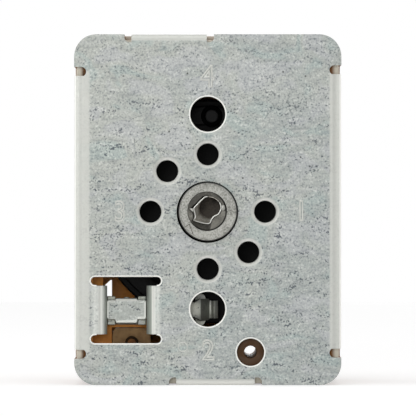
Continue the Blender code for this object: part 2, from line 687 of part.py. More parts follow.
def housing_cutters():
    """Everything that is hollow in the housing apart from its main cavity."""
    bm = bmesh.new()
    for box in pocket_boxes() + terminal_slots():
        add_box(bm, *box)
    past = HOUSING_DEPTH + SHEET
    slot_left = LEDGE_RIGHT - GAP / 3
    slot_right = LEDGE_RIGHT + SIGHT_SLOT_WIDTH
    slot = [(slot_left, SIGHT_SLOT_BOTTOM), (slot_right, SIGHT_SLOT_BOTTOM), (slot_right, SIGHT_SLOT_TOP),
            (slot_right - GAP, SIGHT_SLOT_TOP), (slot_left, SIGHT_SLOT_TOP - SIGHT_SLOT_SLANT)]
    add_flat(bm, [slot], "D", CAM_BACK, past)
    add_rod(bm, "D", (BOSS_X, BOSS_Z), SCREW_BOSS_BORE, 0, past, COARSE_SEGMENTS)
    add_rod(bm, "D", (0, 0), TAIL_RADIUS + GAP, CENTRE_BOSS_FRONT - SHEET, REAR_WALL_FRONT - GAP)
    add_rod(bm, "D", (CALIBRATION_X, STRIP_Z), CALIBRATION_RADIUS + GAP, REAR_WALL_FRONT / 2, past,
            COARSE_SEGMENTS)
    head = CALIBRATION_HEAD_RADIUS + GAP
    add_rod(bm, "D", (CALIBRATION_X, STRIP_Z), head, HOUSING_DEPTH - CALIBRATION_HEAD - GAP, past)
    return make("housing_cutter", bm)


def housing_additions():
    """Bosses, ledges and ribs inside the housing, catches on its sides and barriers on its back."""
    bm = bmesh.new()
    sunk = REAR_WALL / 2
    wall = REAR_WALL_FRONT + sunk
    add_rod(bm, "D", (0, 0), CENTRE_BOSS_RADIUS, CENTRE_BOSS_FRONT, wall)
    add_rod(bm, "D", (BOSS_X, BOSS_Z), SCREW_BOSS_RADIUS, HOUSING_FRONT, wall)
    screw_boss = CALIBRATION_RADIUS + GAP + SIDE_WALL / 2
    add_rod(bm, "D", (CALIBRATION_X, STRIP_Z), screw_boss, DRUM_BACK, wall, COARSE_SEGMENTS)
    beyond = -CAVITY_SIDE - SIDE_WALL / 3
    ledge_z = (SIGHT_SLOT_BOTTOM - GAP, SIGHT_SLOT_TOP + LEDGE_RISE)
    add_box(bm, (beyond, LEDGE_RIGHT), (LEDGE_FRONT, wall), ledge_z)
    add_box(bm, (LEDGE_RIGHT - GAP, LEDGE_RIGHT + SIGHT_SLOT_WIDTH + SHEET * 4), (CAM_BACK + STOP_GAP, wall), ledge_z)
    low = CAVITY_BOTTOM - TOP_WALL / 3
    add_box(bm, (beyond, LOW_LEDGE_RIGHT), (LEDGE_FRONT, LOW_LEDGE_BACK), (low, LOW_LEDGE_TOP))
    rib = (LOW_LEDGE_TOP - STOP_RIB_HEIGHT, LOW_LEDGE_TOP - GAP / 10)
    add_box(bm, (LOW_LEDGE_RIGHT - SHEET, STOP_RIB_RIGHT),
            (LEDGE_FRONT + GAP / 10, LEDGE_FRONT + STOP_RIB_DEPTH), rib)
    return make("housing_addition", bm)


def housing_back():
    """Barriers between the terminals on the back, and the catches on the four sides."""
    bm = bmesh.new()
    depth = (HOUSING_DEPTH - REAR_WALL / 2, HOUSING_DEPTH + BARRIER_HEIGHT)
    half = BARRIER_WIDTH / 2
    reach = SIDE - PLATE_CORNER
    low_z = MAIN_TAB_Z + SHOULDER_WIDTH
    high_z = (PILOT_TAB_Z + LINE_TAB_BOTTOM) / 2
    add_box(bm, (-reach, reach), depth, (low_z - half, low_z + half))
    add_box(bm, (-reach, reach), depth, (high_z - half, high_z + half))
    divide = (LINE_TAB_X + LINE_CONTACT_X) / 2
    add_box(bm, (divide - half, divide + half), depth, (high_z, CAVITY_TOP))
    add_box(bm, (LOAD_TAB_X / 2 + CALIBRATION_X / 2 - half, LOAD_TAB_X / 2 + CALIBRATION_X / 2 + half),
            depth, (CAVITY_BOTTOM, low_z))
    for x_range, depth_range, z_range in catch_boxes(GAP, SHEET * 1.9):
        add_box(bm, x_range, depth_range, z_range)
    return make("housing_back_addition", bm)


def build_housing():
    """Phenolic housing: a tray that the plate closes, with the works between its walls."""
    bm = bmesh.new()
    outline = rounded(-SIDE, SIDE, BOTTOM, TOP, PLATE_CORNER, 6)
    add_flat(bm, [outline], "D", HOUSING_FRONT, HOUSING_DEPTH)
    housing = make("housing", bm, PHENOLIC)
    bm = bmesh.new()
    cavity = rounded(-CAVITY_SIDE, CAVITY_SIDE, CAVITY_BOTTOM, CAVITY_TOP, SHEET, 3)
    add_flat(bm, [cavity], "D", 0, REAR_WALL_FRONT)
    join(housing, make("cavity_cutter", bm), "DIFFERENCE")
    join(housing, housing_additions(), "UNION")
    join(housing, housing_cutters(), "DIFFERENCE")
    join(housing, housing_back(), "UNION")
    return housing


def socket_radius(turn):
    """Distance from the shaft's axis to the socket's wall in one direction, with its flat and its lobe."""
    radius = SOCKET_RADIUS
    facing = math.cos(turn - math.radians(SOCKET_FLAT_ANGLE))
    if facing > 0:
        radius = min(radius, SOCKET_FLAT / facing)
    across = math.sin(turn - math.radians(LOBE_ANGLE)) * LOBE_DISTANCE
    ahead = math.cos(turn - math.radians(LOBE_ANGLE)) * LOBE_DISTANCE
    if ahead > 0 and abs(across) < LOBE_RADIUS:
        radius = min(radius, ahead - math.sqrt(LOBE_RADIUS**2 - across**2))
    return radius


def build_spindle():
    """Spindle that the knob's shaft plugs into, with a collar under the plate, two keys and a tail."""
    top = SHEET + RUN_GAP
    chamfer = GAP / 2
    profile = [
        (0, -HUB_PROUD),
        (HUB_RADIUS - chamfer, -HUB_PROUD),
        (HUB_RADIUS, -HUB_PROUD + chamfer),
        (HUB_RADIUS, top),
        (FLANGE_RADIUS, top),
        (FLANGE_RADIUS, top + FLANGE_THICKNESS),
        (BODY_RADIUS, top + FLANGE_THICKNESS),
        (BODY_RADIUS, BODY_END),
        (TAIL_RADIUS, BODY_END),
        (TAIL_RADIUS, TAIL_END - chamfer),
        (TAIL_RADIUS - chamfer, TAIL_END),
        (0, TAIL_END),
    ]
    bm = bmesh.new()
    add_turned(bm, profile, "D", (0, 0), FINE_SEGMENTS)
    spindle = make("spindle", bm, HUB_METAL)
    bm = bmesh.new()
    start = top + FLANGE_THICKNESS / 2
    add_box(bm, (-KEY_RADIUS, KEY_RADIUS), (start, start + KEY_LENGTH), (-KEY_WIDTH / 2, KEY_WIDTH / 2))
    join(spindle, make("key_addition", bm), "UNION")
    bm = bmesh.new()
    turns = [math.tau * step / 72 for step in range(72)]
    outline = [(socket_radius(turn) * math.cos(turn), socket_radius(turn) * math.sin(turn)) for turn in turns]
    add_flat(bm, [outline], "D", -HUB_PROUD - SHEET, SOCKET_DEPTH - HUB_PROUD)
    mouth = circle((0, 0), SOCKET_MOUTH_RADIUS, FINE_SEGMENTS)
    add_flat(bm, [mouth], "D", -HUB_PROUD - SHEET * 2, SOCKET_SHELF - HUB_PROUD)
    join(spindle, make("socket_cutter", bm), "DIFFERENCE")
    return spindle


def build_spindle_clip():
    """Thin spring clip that lines the socket and grips the knob's shaft."""
    outer = []
    inner = []
    for step in range(49):
        turn = math.radians(62 + (355 - 62) * step / 48)
        radius = socket_radius(turn) - CLIP_GAP
        outer.append((radius * math.cos(turn), radius * math.sin(turn)))
        radius -= CLIP_SHEET
        inner.append((radius * math.cos(turn), radius * math.sin(turn)))
    bm = bmesh.new()
    front = SOCKET_SHELF - HUB_PROUD
    add_flat(bm, [outer + inner[::-1]], "D", front, front + CLIP_DEPTH)
    return make("spindle_clip", bm, SPRING_STEEL)


def build_wire(name, points, wire, finish):
    """A round wire along a list of points."""
    curve = bpy.data.curves.new(name, "CURVE")
    curve.dimensions = "3D"
    curve.bevel_depth = wire / 2
    curve.bevel_resolution = 1
    curve.use_fill_caps = True
    spline = curve.splines.new("POLY")
    spline.points.add(len(points) - 1)
    for point, place_now in zip(spline.points, points):
        point.co = (*place_now, 1)
    made = bpy.data.objects.new(name, curve)
    bpy.context.scene.collection.objects.link(made)
    dress(made, finish)
    return made


def build_spindle_spring():
    """Coil spring round the spindle's tail that pushes it back out."""
    radius = TAIL_RADIUS + GAP + SPRING_WIRE / 2
    low = BODY_END + GAP + SPRING_WIRE / 2
    high = CENTRE_BOSS_FRONT - GAP - SPRING_WIRE / 2
    count = round(SPRING_TURNS * 14)
    points = []
    for step in range(count + 1):
        turn = math.tau * SPRING_TURNS * step / count
        depth = low + (high - low) * step / count
        points.append(place("D", radius * math.cos(turn), radius * math.sin(turn), depth))
    return build_wire("spindle_spring", points, SPRING_WIRE, SPRING_STEEL)


def ramp_height(angle):
    """Height of the cam's face ramp at an angle behind the follower, in degrees."""
    angle %= 360
    if angle <= CAM_TURN:
        return RAMP_RISE * angle / CAM_TURN
    return RAMP_RISE * (360 - angle) / (360 - CAM_TURN)


def drum_radius(angle, dip_at):
    """Radius of one drum track, which has a shallow dip where its contact rests when off."""
    away = abs((angle - dip_at + 180) % 360 - 180)
    if away <= DIP_HALF_ANGLE / 2:
        return DRUM_RADIUS - DIP_DEPTH
    if away >= DIP_HALF_ANGLE:
        return DRUM_RADIUS
    return DRUM_RADIUS - DIP_DEPTH * (2 - 2 * away / DIP_HALF_ANGLE)


def bore_radius(angle):
    """Radius of the cam's bore, which has two keyways."""
    wide = math.degrees(math.asin((KEY_WIDTH / 2 + GAP) / (KEY_RADIUS + GAP)))
    away = min(angle % 180, 180 - angle % 180)
    return KEY_RADIUS + RUN_GAP if away < wide + 1 else CAM_BORE


def build_cam():
    """Cam: a disc with a rising ramp on its face and a drum with two tracks on its back."""
    wide = math.degrees(math.asin((KEY_WIDTH / 2 + GAP) / (KEY_RADIUS + GAP))) + 1
    angles = [step * 5.0 for step in range(72)]
    for middle in (0, 180):
        angles += [(middle + side * (wide + shift)) % 360 for side in (-1, 1) for shift in (-0.3, 0.3)]
    angles = sorted(set(angles) - {-270.0})
    bm = bmesh.new()
    rows = []
    for angle in angles:
        bore = bore_radius(angle)
        high = CAM_FRONT - ramp_height(angle + 90)
        pilot = drum_radius(angle, 0)
        line = drum_radius(angle, 90)
        chamfer = GAP
        profile = [
            (bore, CAM_FRONT - CAM_HUB_RAISE),
            (CAM_HUB_RADIUS, CAM_FRONT - CAM_HUB_RAISE),
            (CAM_HUB_RADIUS, CAM_FRONT),
            (RAMP_INNER, CAM_FRONT),
            (RAMP_INNER + chamfer, high),
            (RAMP_OUTER - chamfer, high),
            (RAMP_OUTER, CAM_FRONT),
            (CAM_RADIUS - chamfer, CAM_FRONT),
            (CAM_RADIUS, CAM_FRONT + chamfer),
            (CAM_RADIUS, CAM_BACK),
            (pilot, CAM_BACK),
            (pilot, CAM_BACK + TRACK_WIDTH),
            (line, CAM_BACK + TRACK_WIDTH + GAP / 3),
            (line, DRUM_BACK),
            (bore, DRUM_BACK),
        ]
        turn = math.radians(angle)
        row = []
        for radius, depth in profile:
            row.append(bm.verts.new(place("D", radius * math.cos(turn), radius * math.sin(turn), depth)))
        rows.append(row)
    for here, after in zip(rows, rows[1:] + rows[:1]):
        for index in range(len(here)):
            bm.faces.new((here[index - 1], here[index], after[index], after[index - 1]))
    cam = make("cam_disc", bm, BLACK_PLASTIC)
    bm = bmesh.new()
    top = CAM_FRONT - ramp_height(180)
    add_rod(bm, "D", (CAM_RECESS_X, CAM_RECESS_Z), CAM_RECESS_RADIUS, top - RAMP_RISE, top + CAM_RECESS_DEPTH, 20)
    join(cam, make("cam_recess_cutter", bm), "DIFFERENCE")
    return cam


def build_pivot_bracket():
    """Saddle between the plate's flaps: a flat web, two folded tongues that hold the pin, and four claws."""
    left = WINDOW_LEFT + SLOT_HEIGHT / 2 + FLAP_BEND + GAP
    right = WINDOW_RIGHT - SLOT_HEIGHT / 2 - FLAP_BEND - GAP
    outline = [
        (left, BRACKET_BOTTOM),
        (TONGUE_LEFT, BRACKET_BOTTOM),
        (TONGUE_RIGHT, BRACKET_BOTTOM),
        (right, BRACKET_BOTTOM),
        (right, BRACKET_TOP),
        (TONGUE_RIGHT, BRACKET_TOP),
        (TONGUE_LEFT, BRACKET_TOP),
        (left, BRACKET_TOP),
    ]
    bm = bmesh.new()
    _, rings = new_faces(bm, [outline], "D", BRACKET_FRONT)
    corners = rings[0]
    reach = TONGUE_REACH - BRACKET_FRONT
    fold(bm, (corners[1], corners[2]), TONGUE_BEND, reach, Vector((0, 0, 1)))
    fold(bm, (corners[5], corners[6]), TONGUE_BEND, reach, Vector((0, 0, -1)))
    bracket = make_sheet("pivot_bracket", bm, BRACKET_SHEET, ZINC)
    bm = bmesh.new()
    back = BRACKET_FRONT + BRACKET_SHEET
    drop = back + CLAW_DROP
    for edge, out in ((BRACKET_TOP, 1), (BRACKET_BOTTOM, -1)):
        profile = [
            (back - GAP, edge - out * SHEET / 2),
            (drop, edge - out * SHEET / 2),
            (drop, edge + out * CLAW_OUT),
            (drop + BRACKET_SHEET, edge + out * CLAW_OUT),
            (drop + BRACKET_SHEET, edge - out * SHEET),
            (back - GAP, edge - out * SHEET),
        ]
        inset = GAP / 3
        add_flat(bm, [profile], "X", left + inset, left + inset + CLAW_WIDTH)
        add_flat(bm, [profile], "X", right - inset - CLAW_WIDTH, right - inset)
    join(bracket, make("claw_addition", bm), "UNION")
    bm = bmesh.new()
    low = BRACKET_BOTTOM - TONGUE_BEND - SHEET
    high = BRACKET_TOP + TONGUE_BEND + SHEET
    add_rod(bm, "Z", (PIVOT_X, PIVOT_DEPTH), PIVOT_RADIUS + GAP / 1.5, low, high, COARSE_SEGMENTS)
    join(bracket, make("bracket_pin_cutter", bm), "DIFFERENCE")
    return bracket


def build_pivot_pin():
    """Pin that the follower lever swings on."""
    bm = bmesh.new()
    low = BRACKET_BOTTOM - TONGUE_BEND + GAP / 6
    high = BRACKET_TOP + TONGUE_BEND - GAP / 6
    add_rod(bm, "Z", (PIVOT_X, PIVOT_DEPTH), PIVOT_RADIUS, low, high, COARSE_SEGMENTS)
    return make("pivot_pin", bm, STEEL)


def build_follower_lever():
    """Lever whose nose rides on the cam's ramp and whose leg carries the bimetal strip."""
    middle = (LEVER_TOP + LEVER_BOTTOM) / 2
    arm_back = LEVER_BACK - LEVER_ARM_RAISE
    slope = NOSE_BACK - arm_back
    stations = [
        (LEVER_WEB_RIGHT + LEVER_SHEET, arm_back, LEVER_WIDTH),
        (NOSE_X - 0.0028, arm_back, LEVER_WIDTH),
        (NOSE_X - 0.0021, arm_back + slope * 0.06, WING_WIDTH),
        (NOSE_X - 0.0007, NOSE_BACK - slope * 0.1, WING_WIDTH),
        (NOSE_X - 0.0003, NOSE_BACK, NOSE_WIDTH),
        (NOSE_X + 0.0003, NOSE_BACK, NOSE_WIDTH),
        (NOSE_X + 0.0008, NOSE_BACK - 0.0002, NOSE_WIDTH),
        (NOSE_X + 0.0012, NOSE_BACK - 0.0007, NOSE_WIDTH),
        (NOSE_X + 0.0014, NOSE_BACK - 0.0013, NOSE_WIDTH),
    ]
    bm = bmesh.new()
    corner = lambda x, depth, z: bm.verts.new(place("D", x, z, depth))
    top = [corner(LEVER_LEFT, LEVER_BACK, LEVER_TOP), corner(LEVER_WEB_RIGHT, LEVER_BACK, LEVER_TOP)]
    low = [corner(LEVER_LEFT, LEVER_BACK, LEVER_BOTTOM), corner(LEVER_WEB_RIGHT, LEVER_BACK, LEVER_BOTTOM)]
    foot = [corner(LEVER_LEFT, LEVER_BACK, LEVER_LEG_END), corner(LEVER_WEB_RIGHT, LEVER_BACK, LEVER_LEG_END)]
    bm.faces.new((top[0], top[1], low[1], low[0]))
    bm.faces.new((low[0], low[1], foot[1], foot[0]))
    last = (top[1], low[1])
    for x, depth, width in stations:
        new = (corner(x, depth, middle + width / 2), corner(x, depth, middle - width / 2))
        bm.faces.new((last[0], new[0], new[1], last[1]))
        last = new
    lever = make_sheet("follower_lever", bm, LEVER_SHEET, ZINC)
    # The drawn face is the lever's back, so the sheet grows from it towards the front.
    lever.modifiers["sheet"].offset = 1
    bm = bmesh.new()
    ear_front = BRACKET_FRONT + BRACKET_SHEET + RUN_GAP
    inset = GAP / 3
    ears = ((LEVER_TOP - inset - EAR_SHEET, LEVER_TOP - inset), (LEVER_BOTTOM + inset, LEVER_BOTTOM + inset + EAR_SHEET))
    for z_range in ears:
        add_box(bm, (PIVOT_X - EAR_WIDTH / 2, PIVOT_X + EAR_WIDTH / 2),
                (ear_front, LEVER_FRONT + LEVER_SHEET / 2), z_range)
    join(lever, make("ear_addition", bm), "UNION")
    bm = bmesh.new()
    add_rod(bm, "Z", (PIVOT_X, PIVOT_DEPTH), PIVOT_RADIUS + GAP / 1.5, LEVER_BOTTOM - GAP, LEVER_TOP + GAP,
            COARSE_SEGMENTS)
    add_rod(bm, "D", (RIVET_X, RIVET_Z), RIVET_RADIUS + GAP, LEVER_FRONT - SHEET, LEVER_BACK + SHEET,
            COARSE_SEGMENTS)
    join(lever, make("lever_hole_cutter", bm), "DIFFERENCE")
    return lever


def build_bimetal_strip():
    """Bimetal strip: a root tab on the lever's leg and a narrow strip along the bottom."""
    half = BIMETAL_STRIP_WIDTH / 2
    top = HEATER_TOP - GAP
    low = STRIP_Z - half
    root_right = HEATER_TAB_RIGHT - GAP
    outline = [
        (BIMETAL_LEFT, low),
        (BIMETAL_RIGHT, low),
        (BIMETAL_RIGHT, STRIP_Z + half),
        (root_right, STRIP_Z + half),
        (root_right, top),
        (BIMETAL_LEFT, top),
    ]
    bm = bmesh.new()
    holes = [circle((RIVET_X, RIVET_Z), RIVET_RADIUS + GAP, 16), circle((BUTTON_X, STRIP_Z), RIVET_RADIUS + GAP, 16)]
    add_flat(bm, [outline, *holes], "D", BIMETAL_FRONT, BIMETAL_FRONT + BIMETAL_SHEET)
    return make("bimetal_strip", bm, STEEL)


def build_heater_plate():
    """Mica plate that carries the heater winding in front of the bimetal strip."""
    half = BIMETAL_STRIP_WIDTH / 2
    low = STRIP_Z - half
    outline = [(HEATER_LEFT, low), (HEATER_RIGHT, low), (HEATER_RIGHT, STRIP_Z + half - GAP)]
    outline += [(HEATER_TAB_RIGHT, STRIP_Z + half - GAP), (HEATER_TAB_RIGHT, HEATER_TOP)]
    outline += arc((HEATER_LEFT + HEATER_CORNER, HEATER_TOP - HEATER_CORNER), HEATER_CORNER, 90, 180, 5)
    bm = bmesh.new()
    add_flat(bm, [outline, circle((RIVET_X, RIVET_Z), RIVET_RADIUS + GAP, 16)], "D",
             HEATER_FRONT, HEATER_FRONT + HEATER_SHEET)
    return make("heater_plate", bm, MICA)


def build_heater_winding():
    """Resistance wire laid back and forth on the mica plate."""
    depth = HEATER_FRONT - GAP - WINDING_WIRE / 2
    left = HEATER_TAB_RIGHT
    step = (HEATER_RIGHT - left - STOP_GAP * 4) / (2 * WINDING_TURNS)
    half = BIMETAL_STRIP_WIDTH / 2 - WINDING_WIRE - GAP
    points = [place("D", left - step * 2, STRIP_Z - half, depth)]
    for index in range(2 * WINDING_TURNS):
        side = half if index % 2 else -half
        points.append(place("D", left + step * index, STRIP_Z + side, depth))
        points.append(place("D", left + step * index, STRIP_Z - side, depth))
    return build_wire("heater_winding", points, WINDING_WIRE, NICHROME)


def rivet_profile(low, high, low_head, high_head, radius, low_radius, high_radius):
    """Profile of a rivet with a shank between two heads, from low to high."""
    return [
        (0, low),
        (low_radius * 0.8, low),
        (low_radius, low + low_head * 0.5),
        (low_radius, low + low_head),
        (radius, low + low_head),
        (radius, high - high_head),
        (high_radius, high - high_head),
        (high_radius, high - high_head * 0.5),
        (high_radius * 0.8, high),
        (0, high),
    ]


def build_rivet(name, axis, centre, low, high, radius, head_radius, head, finish):
    """A rivet through a stack of pieces from low to high, with its heads clear of them by the gap."""
    bm = bmesh.new()
    profile = rivet_profile(low - GAP - head, high + GAP + head, head, head, radius, head_radius, head_radius)
    add_turned(bm, profile, axis, centre, COARSE_SEGMENTS)
    return make(name, bm, finish)


def build_contact(name, axis, centre, tip, head_end, tail_end):
    """A silver contact: a head from its tip to the blade, and a shank that goes through the blade."""
    way = 1 if tail_end > tip else -1
    profile = [
        (0, tip),
        (CONTACT_RADIUS * 0.8, tip),
        (CONTACT_RADIUS, tip + way * CONTACT_HEAD * 0.3),
        (CONTACT_RADIUS, head_end),
        (CONTACT_SHANK, head_end),
        (CONTACT_SHANK, tail_end),
        (0, tail_end),
    ]
    bm = bmesh.new()
    add_turned(bm, profile, axis, centre, COARSE_SEGMENTS)
    return make(name, bm, SILVER)


def build_push_button():
    """Ceramic button at the strip's tip that pushes the main contact open."""
    tip = SNAP_FRONT - GAP
    profile = [
        (0, BIMETAL_FRONT - GAP),
        (RIVET_RADIUS, BIMETAL_FRONT - GAP),
        (RIVET_RADIUS, BUTTON_FRONT),
        (BUTTON_RADIUS, BUTTON_FRONT),
        (BUTTON_RADIUS, tip - GAP),
        (BUTTON_RADIUS * 0.7, tip),
        (0, tip),
    ]
    bm = bmesh.new()
    add_turned(bm, profile, "D", (BUTTON_X, STRIP_Z), COARSE_SEGMENTS)
    return make("push_button", bm, CERAMIC)


def build_snap_blade():
    """Blade that carries the main moving contact."""
    half = SNAP_WIDTH / 2
    right = LOAD_TAB_X - RUN_GAP
    outline = rectangle(SNAP_LEFT, right, STRIP_Z - half, STRIP_Z + half)
    holes = [
        circle((SNAP_RIVET_X, STRIP_Z), RIVET_RADIUS + GAP, 16),
        circle((MAIN_CONTACT_X, STRIP_Z), CONTACT_SHANK + GAP, 16),
    ]
    bm = bmesh.new()
    add_flat(bm, [outline, *holes], "D", SNAP_FRONT, SNAP_BACK)
    return make("snap_blade", bm, BRONZE)


def tab_outline(middle, front, hole=None):
    """Outline of a terminal in (across, depth): a wide inner part, shoulders and the outer blade."""
    wide = SHOULDER_WIDTH / 2
    narrow = TAB_WIDTH / 2
    stop = REAR_WALL_FRONT - GAP
    outline = [
        (middle - wide, front),
        (middle + wide, front),
        (middle + wide, stop),
        (middle + narrow, stop),
        (middle + narrow, TAB_END - TAB_TIP),
        (middle + narrow - TAB_TIP, TAB_END),
        (middle - narrow + TAB_TIP, TAB_END),
        (middle - narrow, TAB_END - TAB_TIP),
        (middle - narrow, stop),
        (middle - wide, stop),
    ]
    loops = [outline, circle((middle, TAB_END - TAB_HOLE_FROM_TIP), TAB_HOLE_RADIUS, 16)]
    if hole:
        loops.append(circle(hole[0], hole[1], 16))
    return loops


def build_upright_tab(name, left, middle_z, front, hole=None):
    """A terminal whose blade stands on edge, seen from behind."""
    loops = [[(depth, across) for across, depth in loop] for loop in tab_outline(middle_z, front, hole)]
    bm = bmesh.new()
    add_flat(bm, loops, "X", left, left + TAB_SHEET)
    return make(name, bm, BRASS)


def build_level_tab(name, bottom, middle_x, front, hole=None):
    """A terminal whose blade lies level, seen from behind."""
    bm = bmesh.new()
    add_flat(bm, tab_outline(middle_x, front, hole), "Z", bottom, bottom + TAB_SHEET)
    return make(name, bm, BRASS)


def build_feed_terminal():
    """Terminal that carries the snap blade on a foot."""
    terminal = build_upright_tab("terminal_feed", FEED_TAB_X, MAIN_TAB_Z, FOOT_FRONT - GAP / 2)
    bm = bmesh.new()
    half = SNAP_WIDTH / 2 + GAP / 2
    outline = rectangle(FEED_TAB_X + TAB_SHEET / 2, FOOT_RIGHT, STRIP_Z - half, STRIP_Z + half)
    hole = circle((SNAP_RIVET_X, STRIP_Z), RIVET_RADIUS + GAP, 16)
    add_flat(bm, [outline, hole], "D", FOOT_FRONT, FOOT_FRONT + TAB_SHEET)
    join(terminal, make("foot_addition", bm), "UNION")
    return terminal


def build_load_terminal():
    """Terminal whose arm carries the main fixed contact in front of the snap blade."""
    terminal = build_upright_tab("terminal_load", LOAD_TAB_X, MAIN_TAB_Z, LOAD_ARM_FRONT - GAP / 2)
    bm = bmesh.new()
    half = SNAP_WIDTH / 2
    arm_left = MAIN_CONTACT_X - CONTACT_RADIUS
    outline = rectangle(arm_left, LOAD_TAB_X + TAB_SHEET / 2, STRIP_Z - half, STRIP_Z + half)
    hole = circle((MAIN_CONTACT_X, STRIP_Z), CONTACT_SHANK + GAP / 2, 16)
    add_flat(bm, [outline, hole], "D", LOAD_ARM_FRONT, LOAD_ARM_BACK)
    join(terminal, make("arm_addition", bm), "UNION")
    return terminal


def build_calibration_screw():
    """Screw in the back that stops the snap blade and sets the switching point."""
    tip = SNAP_BACK + STOP_GAP + GAP
    back = HOUSING_DEPTH - GAP / 3
    profile = [
        (0, tip),
        (CALIBRATION_RADIUS * 0.6, tip),
        (CALIBRATION_RADIUS, tip + CALIBRATION_RADIUS * 0.5),
        (CALIBRATION_RADIUS, back - CALIBRATION_HEAD),
        (CALIBRATION_HEAD_RADIUS, back - CALIBRATION_HEAD),
        (CALIBRATION_HEAD_RADIUS, back),
        (0, back),
    ]
    bm = bmesh.new()
    add_turned(bm, profile, "D", (CALIBRATION_X, STRIP_Z), 24)
    screw = make("calibration_screw", bm, BRASS)
    bm = bmesh.new()
    reach = CALIBRATION_HEAD_RADIUS + SHEET
    slot = (CALIBRATION_X - reach, CALIBRATION_X + reach)
    add_box(bm, slot, (back - CALIBRATION_HEAD / 2, back + SHEET), (STRIP_Z - GAP, STRIP_Z + GAP))
    join(screw, make("screw_slot_cutter", bm), "DIFFERENCE")
    return screw


def blade_outline(start, end, level, sheet, nose_level):
    """Outline of a leaf with a bent nose in its middle that points towards the drum."""
    nose = DRUM_RADIUS + RUN_GAP - level
    path = [(start, level), (-2.2 * abs(nose), level), (0, nose_level), (2.2 * abs(nose), level), (end, level)]
    return thicken(path, sheet)


def build_line_blade():
    """Leaf over the drum that closes the line contact when the cam lifts it."""
    outline = blade_outline(
        LINE_BLADE_LEFT, LINE_BLADE_RIGHT, LINE_BLADE_Z, LINE_BLADE_SHEET, DRUM_RADIUS + RUN_GAP
    )
    bm = bmesh.new()
    depth = LINE_DEPTH - LINE_BLADE_WIDTH / 2
    # The outline is drawn in (x, z), so it is extruded along the depth.
    add_flat(bm, [outline], "D", depth, depth + LINE_BLADE_WIDTH)
    blade = make("line_blade", bm, BRONZE)
    bm = bmesh.new()
    low, high = LINE_BLADE_Z - SHEET, LINE_BLADE_TOP + SHEET
    add_rod(bm, "Z", (LINE_TAB_X, LINE_DEPTH), RIVET_RADIUS + GAP, low, high, COARSE_SEGMENTS)
    add_rod(bm, "Z", (LINE_CONTACT_X, LINE_DEPTH), CONTACT_SHANK + GAP, low, high, COARSE_SEGMENTS)
    join(blade, make("line_blade_cutter", bm), "DIFFERENCE")
    return blade


def build_pilot_blade():
    """Leaf beside the drum that closes the pilot contact."""
    flat = blade_outline(
        PILOT_BLADE_BOTTOM, PILOT_BLADE_TOP, PILOT_BLADE_X, PILOT_BLADE_SHEET, DRUM_RADIUS + RUN_GAP
    )
    outline = [(across, along) for along, across in flat]
    bm = bmesh.new()
    depth = PILOT_DEPTH - PILOT_BLADE_WIDTH / 2
    add_flat(bm, [outline], "D", depth, depth + PILOT_BLADE_WIDTH)
    blade = make("pilot_blade", bm, BRONZE)
    bm = bmesh.new()
    low, high = PILOT_BLADE_X - SHEET, PILOT_BLADE_OUT + SHEET
    add_rod(bm, "X", (PILOT_DEPTH, PILOT_TAB_Z), RIVET_RADIUS + GAP, low, high, COARSE_SEGMENTS)
    add_rod(bm, "X", (PILOT_DEPTH, PILOT_CONTACT_Z), CONTACT_SHANK + GAP, low, high, COARSE_SEGMENTS)
    join(blade, make("pilot_blade_cutter", bm), "DIFFERENCE")
    return blade


def build_root():
    """Everything that stays still when the switch is used."""
    build_front_plate()
    build_housing()
    build_pivot_bracket()
    build_pivot_pin()
    build_feed_terminal()
    build_load_terminal()
    build_contact("main_fixed_contact", "D", (MAIN_CONTACT_X, STRIP_Z), MAIN_FIXED_TIP, LOAD_ARM_BACK + GAP,
                  LOAD_ARM_FRONT + GAP)
    build_rivet("snap_blade_rivet", "D", (SNAP_RIVET_X, STRIP_Z), SNAP_FRONT, FOOT_FRONT + TAB_SHEET,
                RIVET_RADIUS, RIVET_HEAD_RADIUS, RIVET_HEAD, BRASS)
    build_calibration_screw()
    rivet_hole = RIVET_RADIUS + GAP
    contact_hole = CONTACT_SHANK + GAP
    line_front = LINE_DEPTH - SHOULDER_WIDTH / 4
    pilot_front = CAM_BACK + GAP
    build_level_tab("terminal_line", LINE_TAB_BOTTOM, LINE_TAB_X, line_front, ((LINE_TAB_X, LINE_DEPTH), rivet_hole))
    build_level_tab("terminal_line_fixed", FIXED_TAB_BOTTOM, LINE_CONTACT_X, line_front,
                    ((LINE_CONTACT_X, LINE_DEPTH), contact_hole))
    build_contact("line_fixed_contact", "Z", (LINE_CONTACT_X, LINE_DEPTH), LINE_FIXED_TIP,
                  FIXED_TAB_BOTTOM - GAP, FIXED_TAB_BOTTOM + TAB_SHEET)
    build_rivet("line_blade_rivet", "Z", (LINE_TAB_X, LINE_DEPTH), LINE_BLADE_Z, LINE_TAB_BOTTOM + TAB_SHEET,
                RIVET_RADIUS, RIVET_HEAD_RADIUS, RIVET_HEAD, BRASS)
    build_upright_tab("terminal_pilot", PILOT_TAB_IN, PILOT_TAB_Z, pilot_front,
                      ((PILOT_TAB_Z, PILOT_DEPTH), rivet_hole))
    build_upright_tab("terminal_pilot_fixed", PILOT_FIXED_TAB_IN, PILOT_CONTACT_Z, pilot_front,
                      ((PILOT_CONTACT_Z, PILOT_DEPTH), contact_hole))
    build_contact("pilot_fixed_contact", "X", (PILOT_DEPTH, PILOT_CONTACT_Z), PILOT_FIXED_TIP,
                  PILOT_FIXED_TAB_IN - GAP, PILOT_FIXED_TAB_IN + TAB_SHEET)
    build_rivet("pilot_blade_rivet", "X", (PILOT_DEPTH, PILOT_TAB_Z), PILOT_BLADE_X, PILOT_TAB_IN + TAB_SHEET,
                RIVET_RADIUS, RIVET_HEAD_RADIUS, RIVET_HEAD, BRASS)


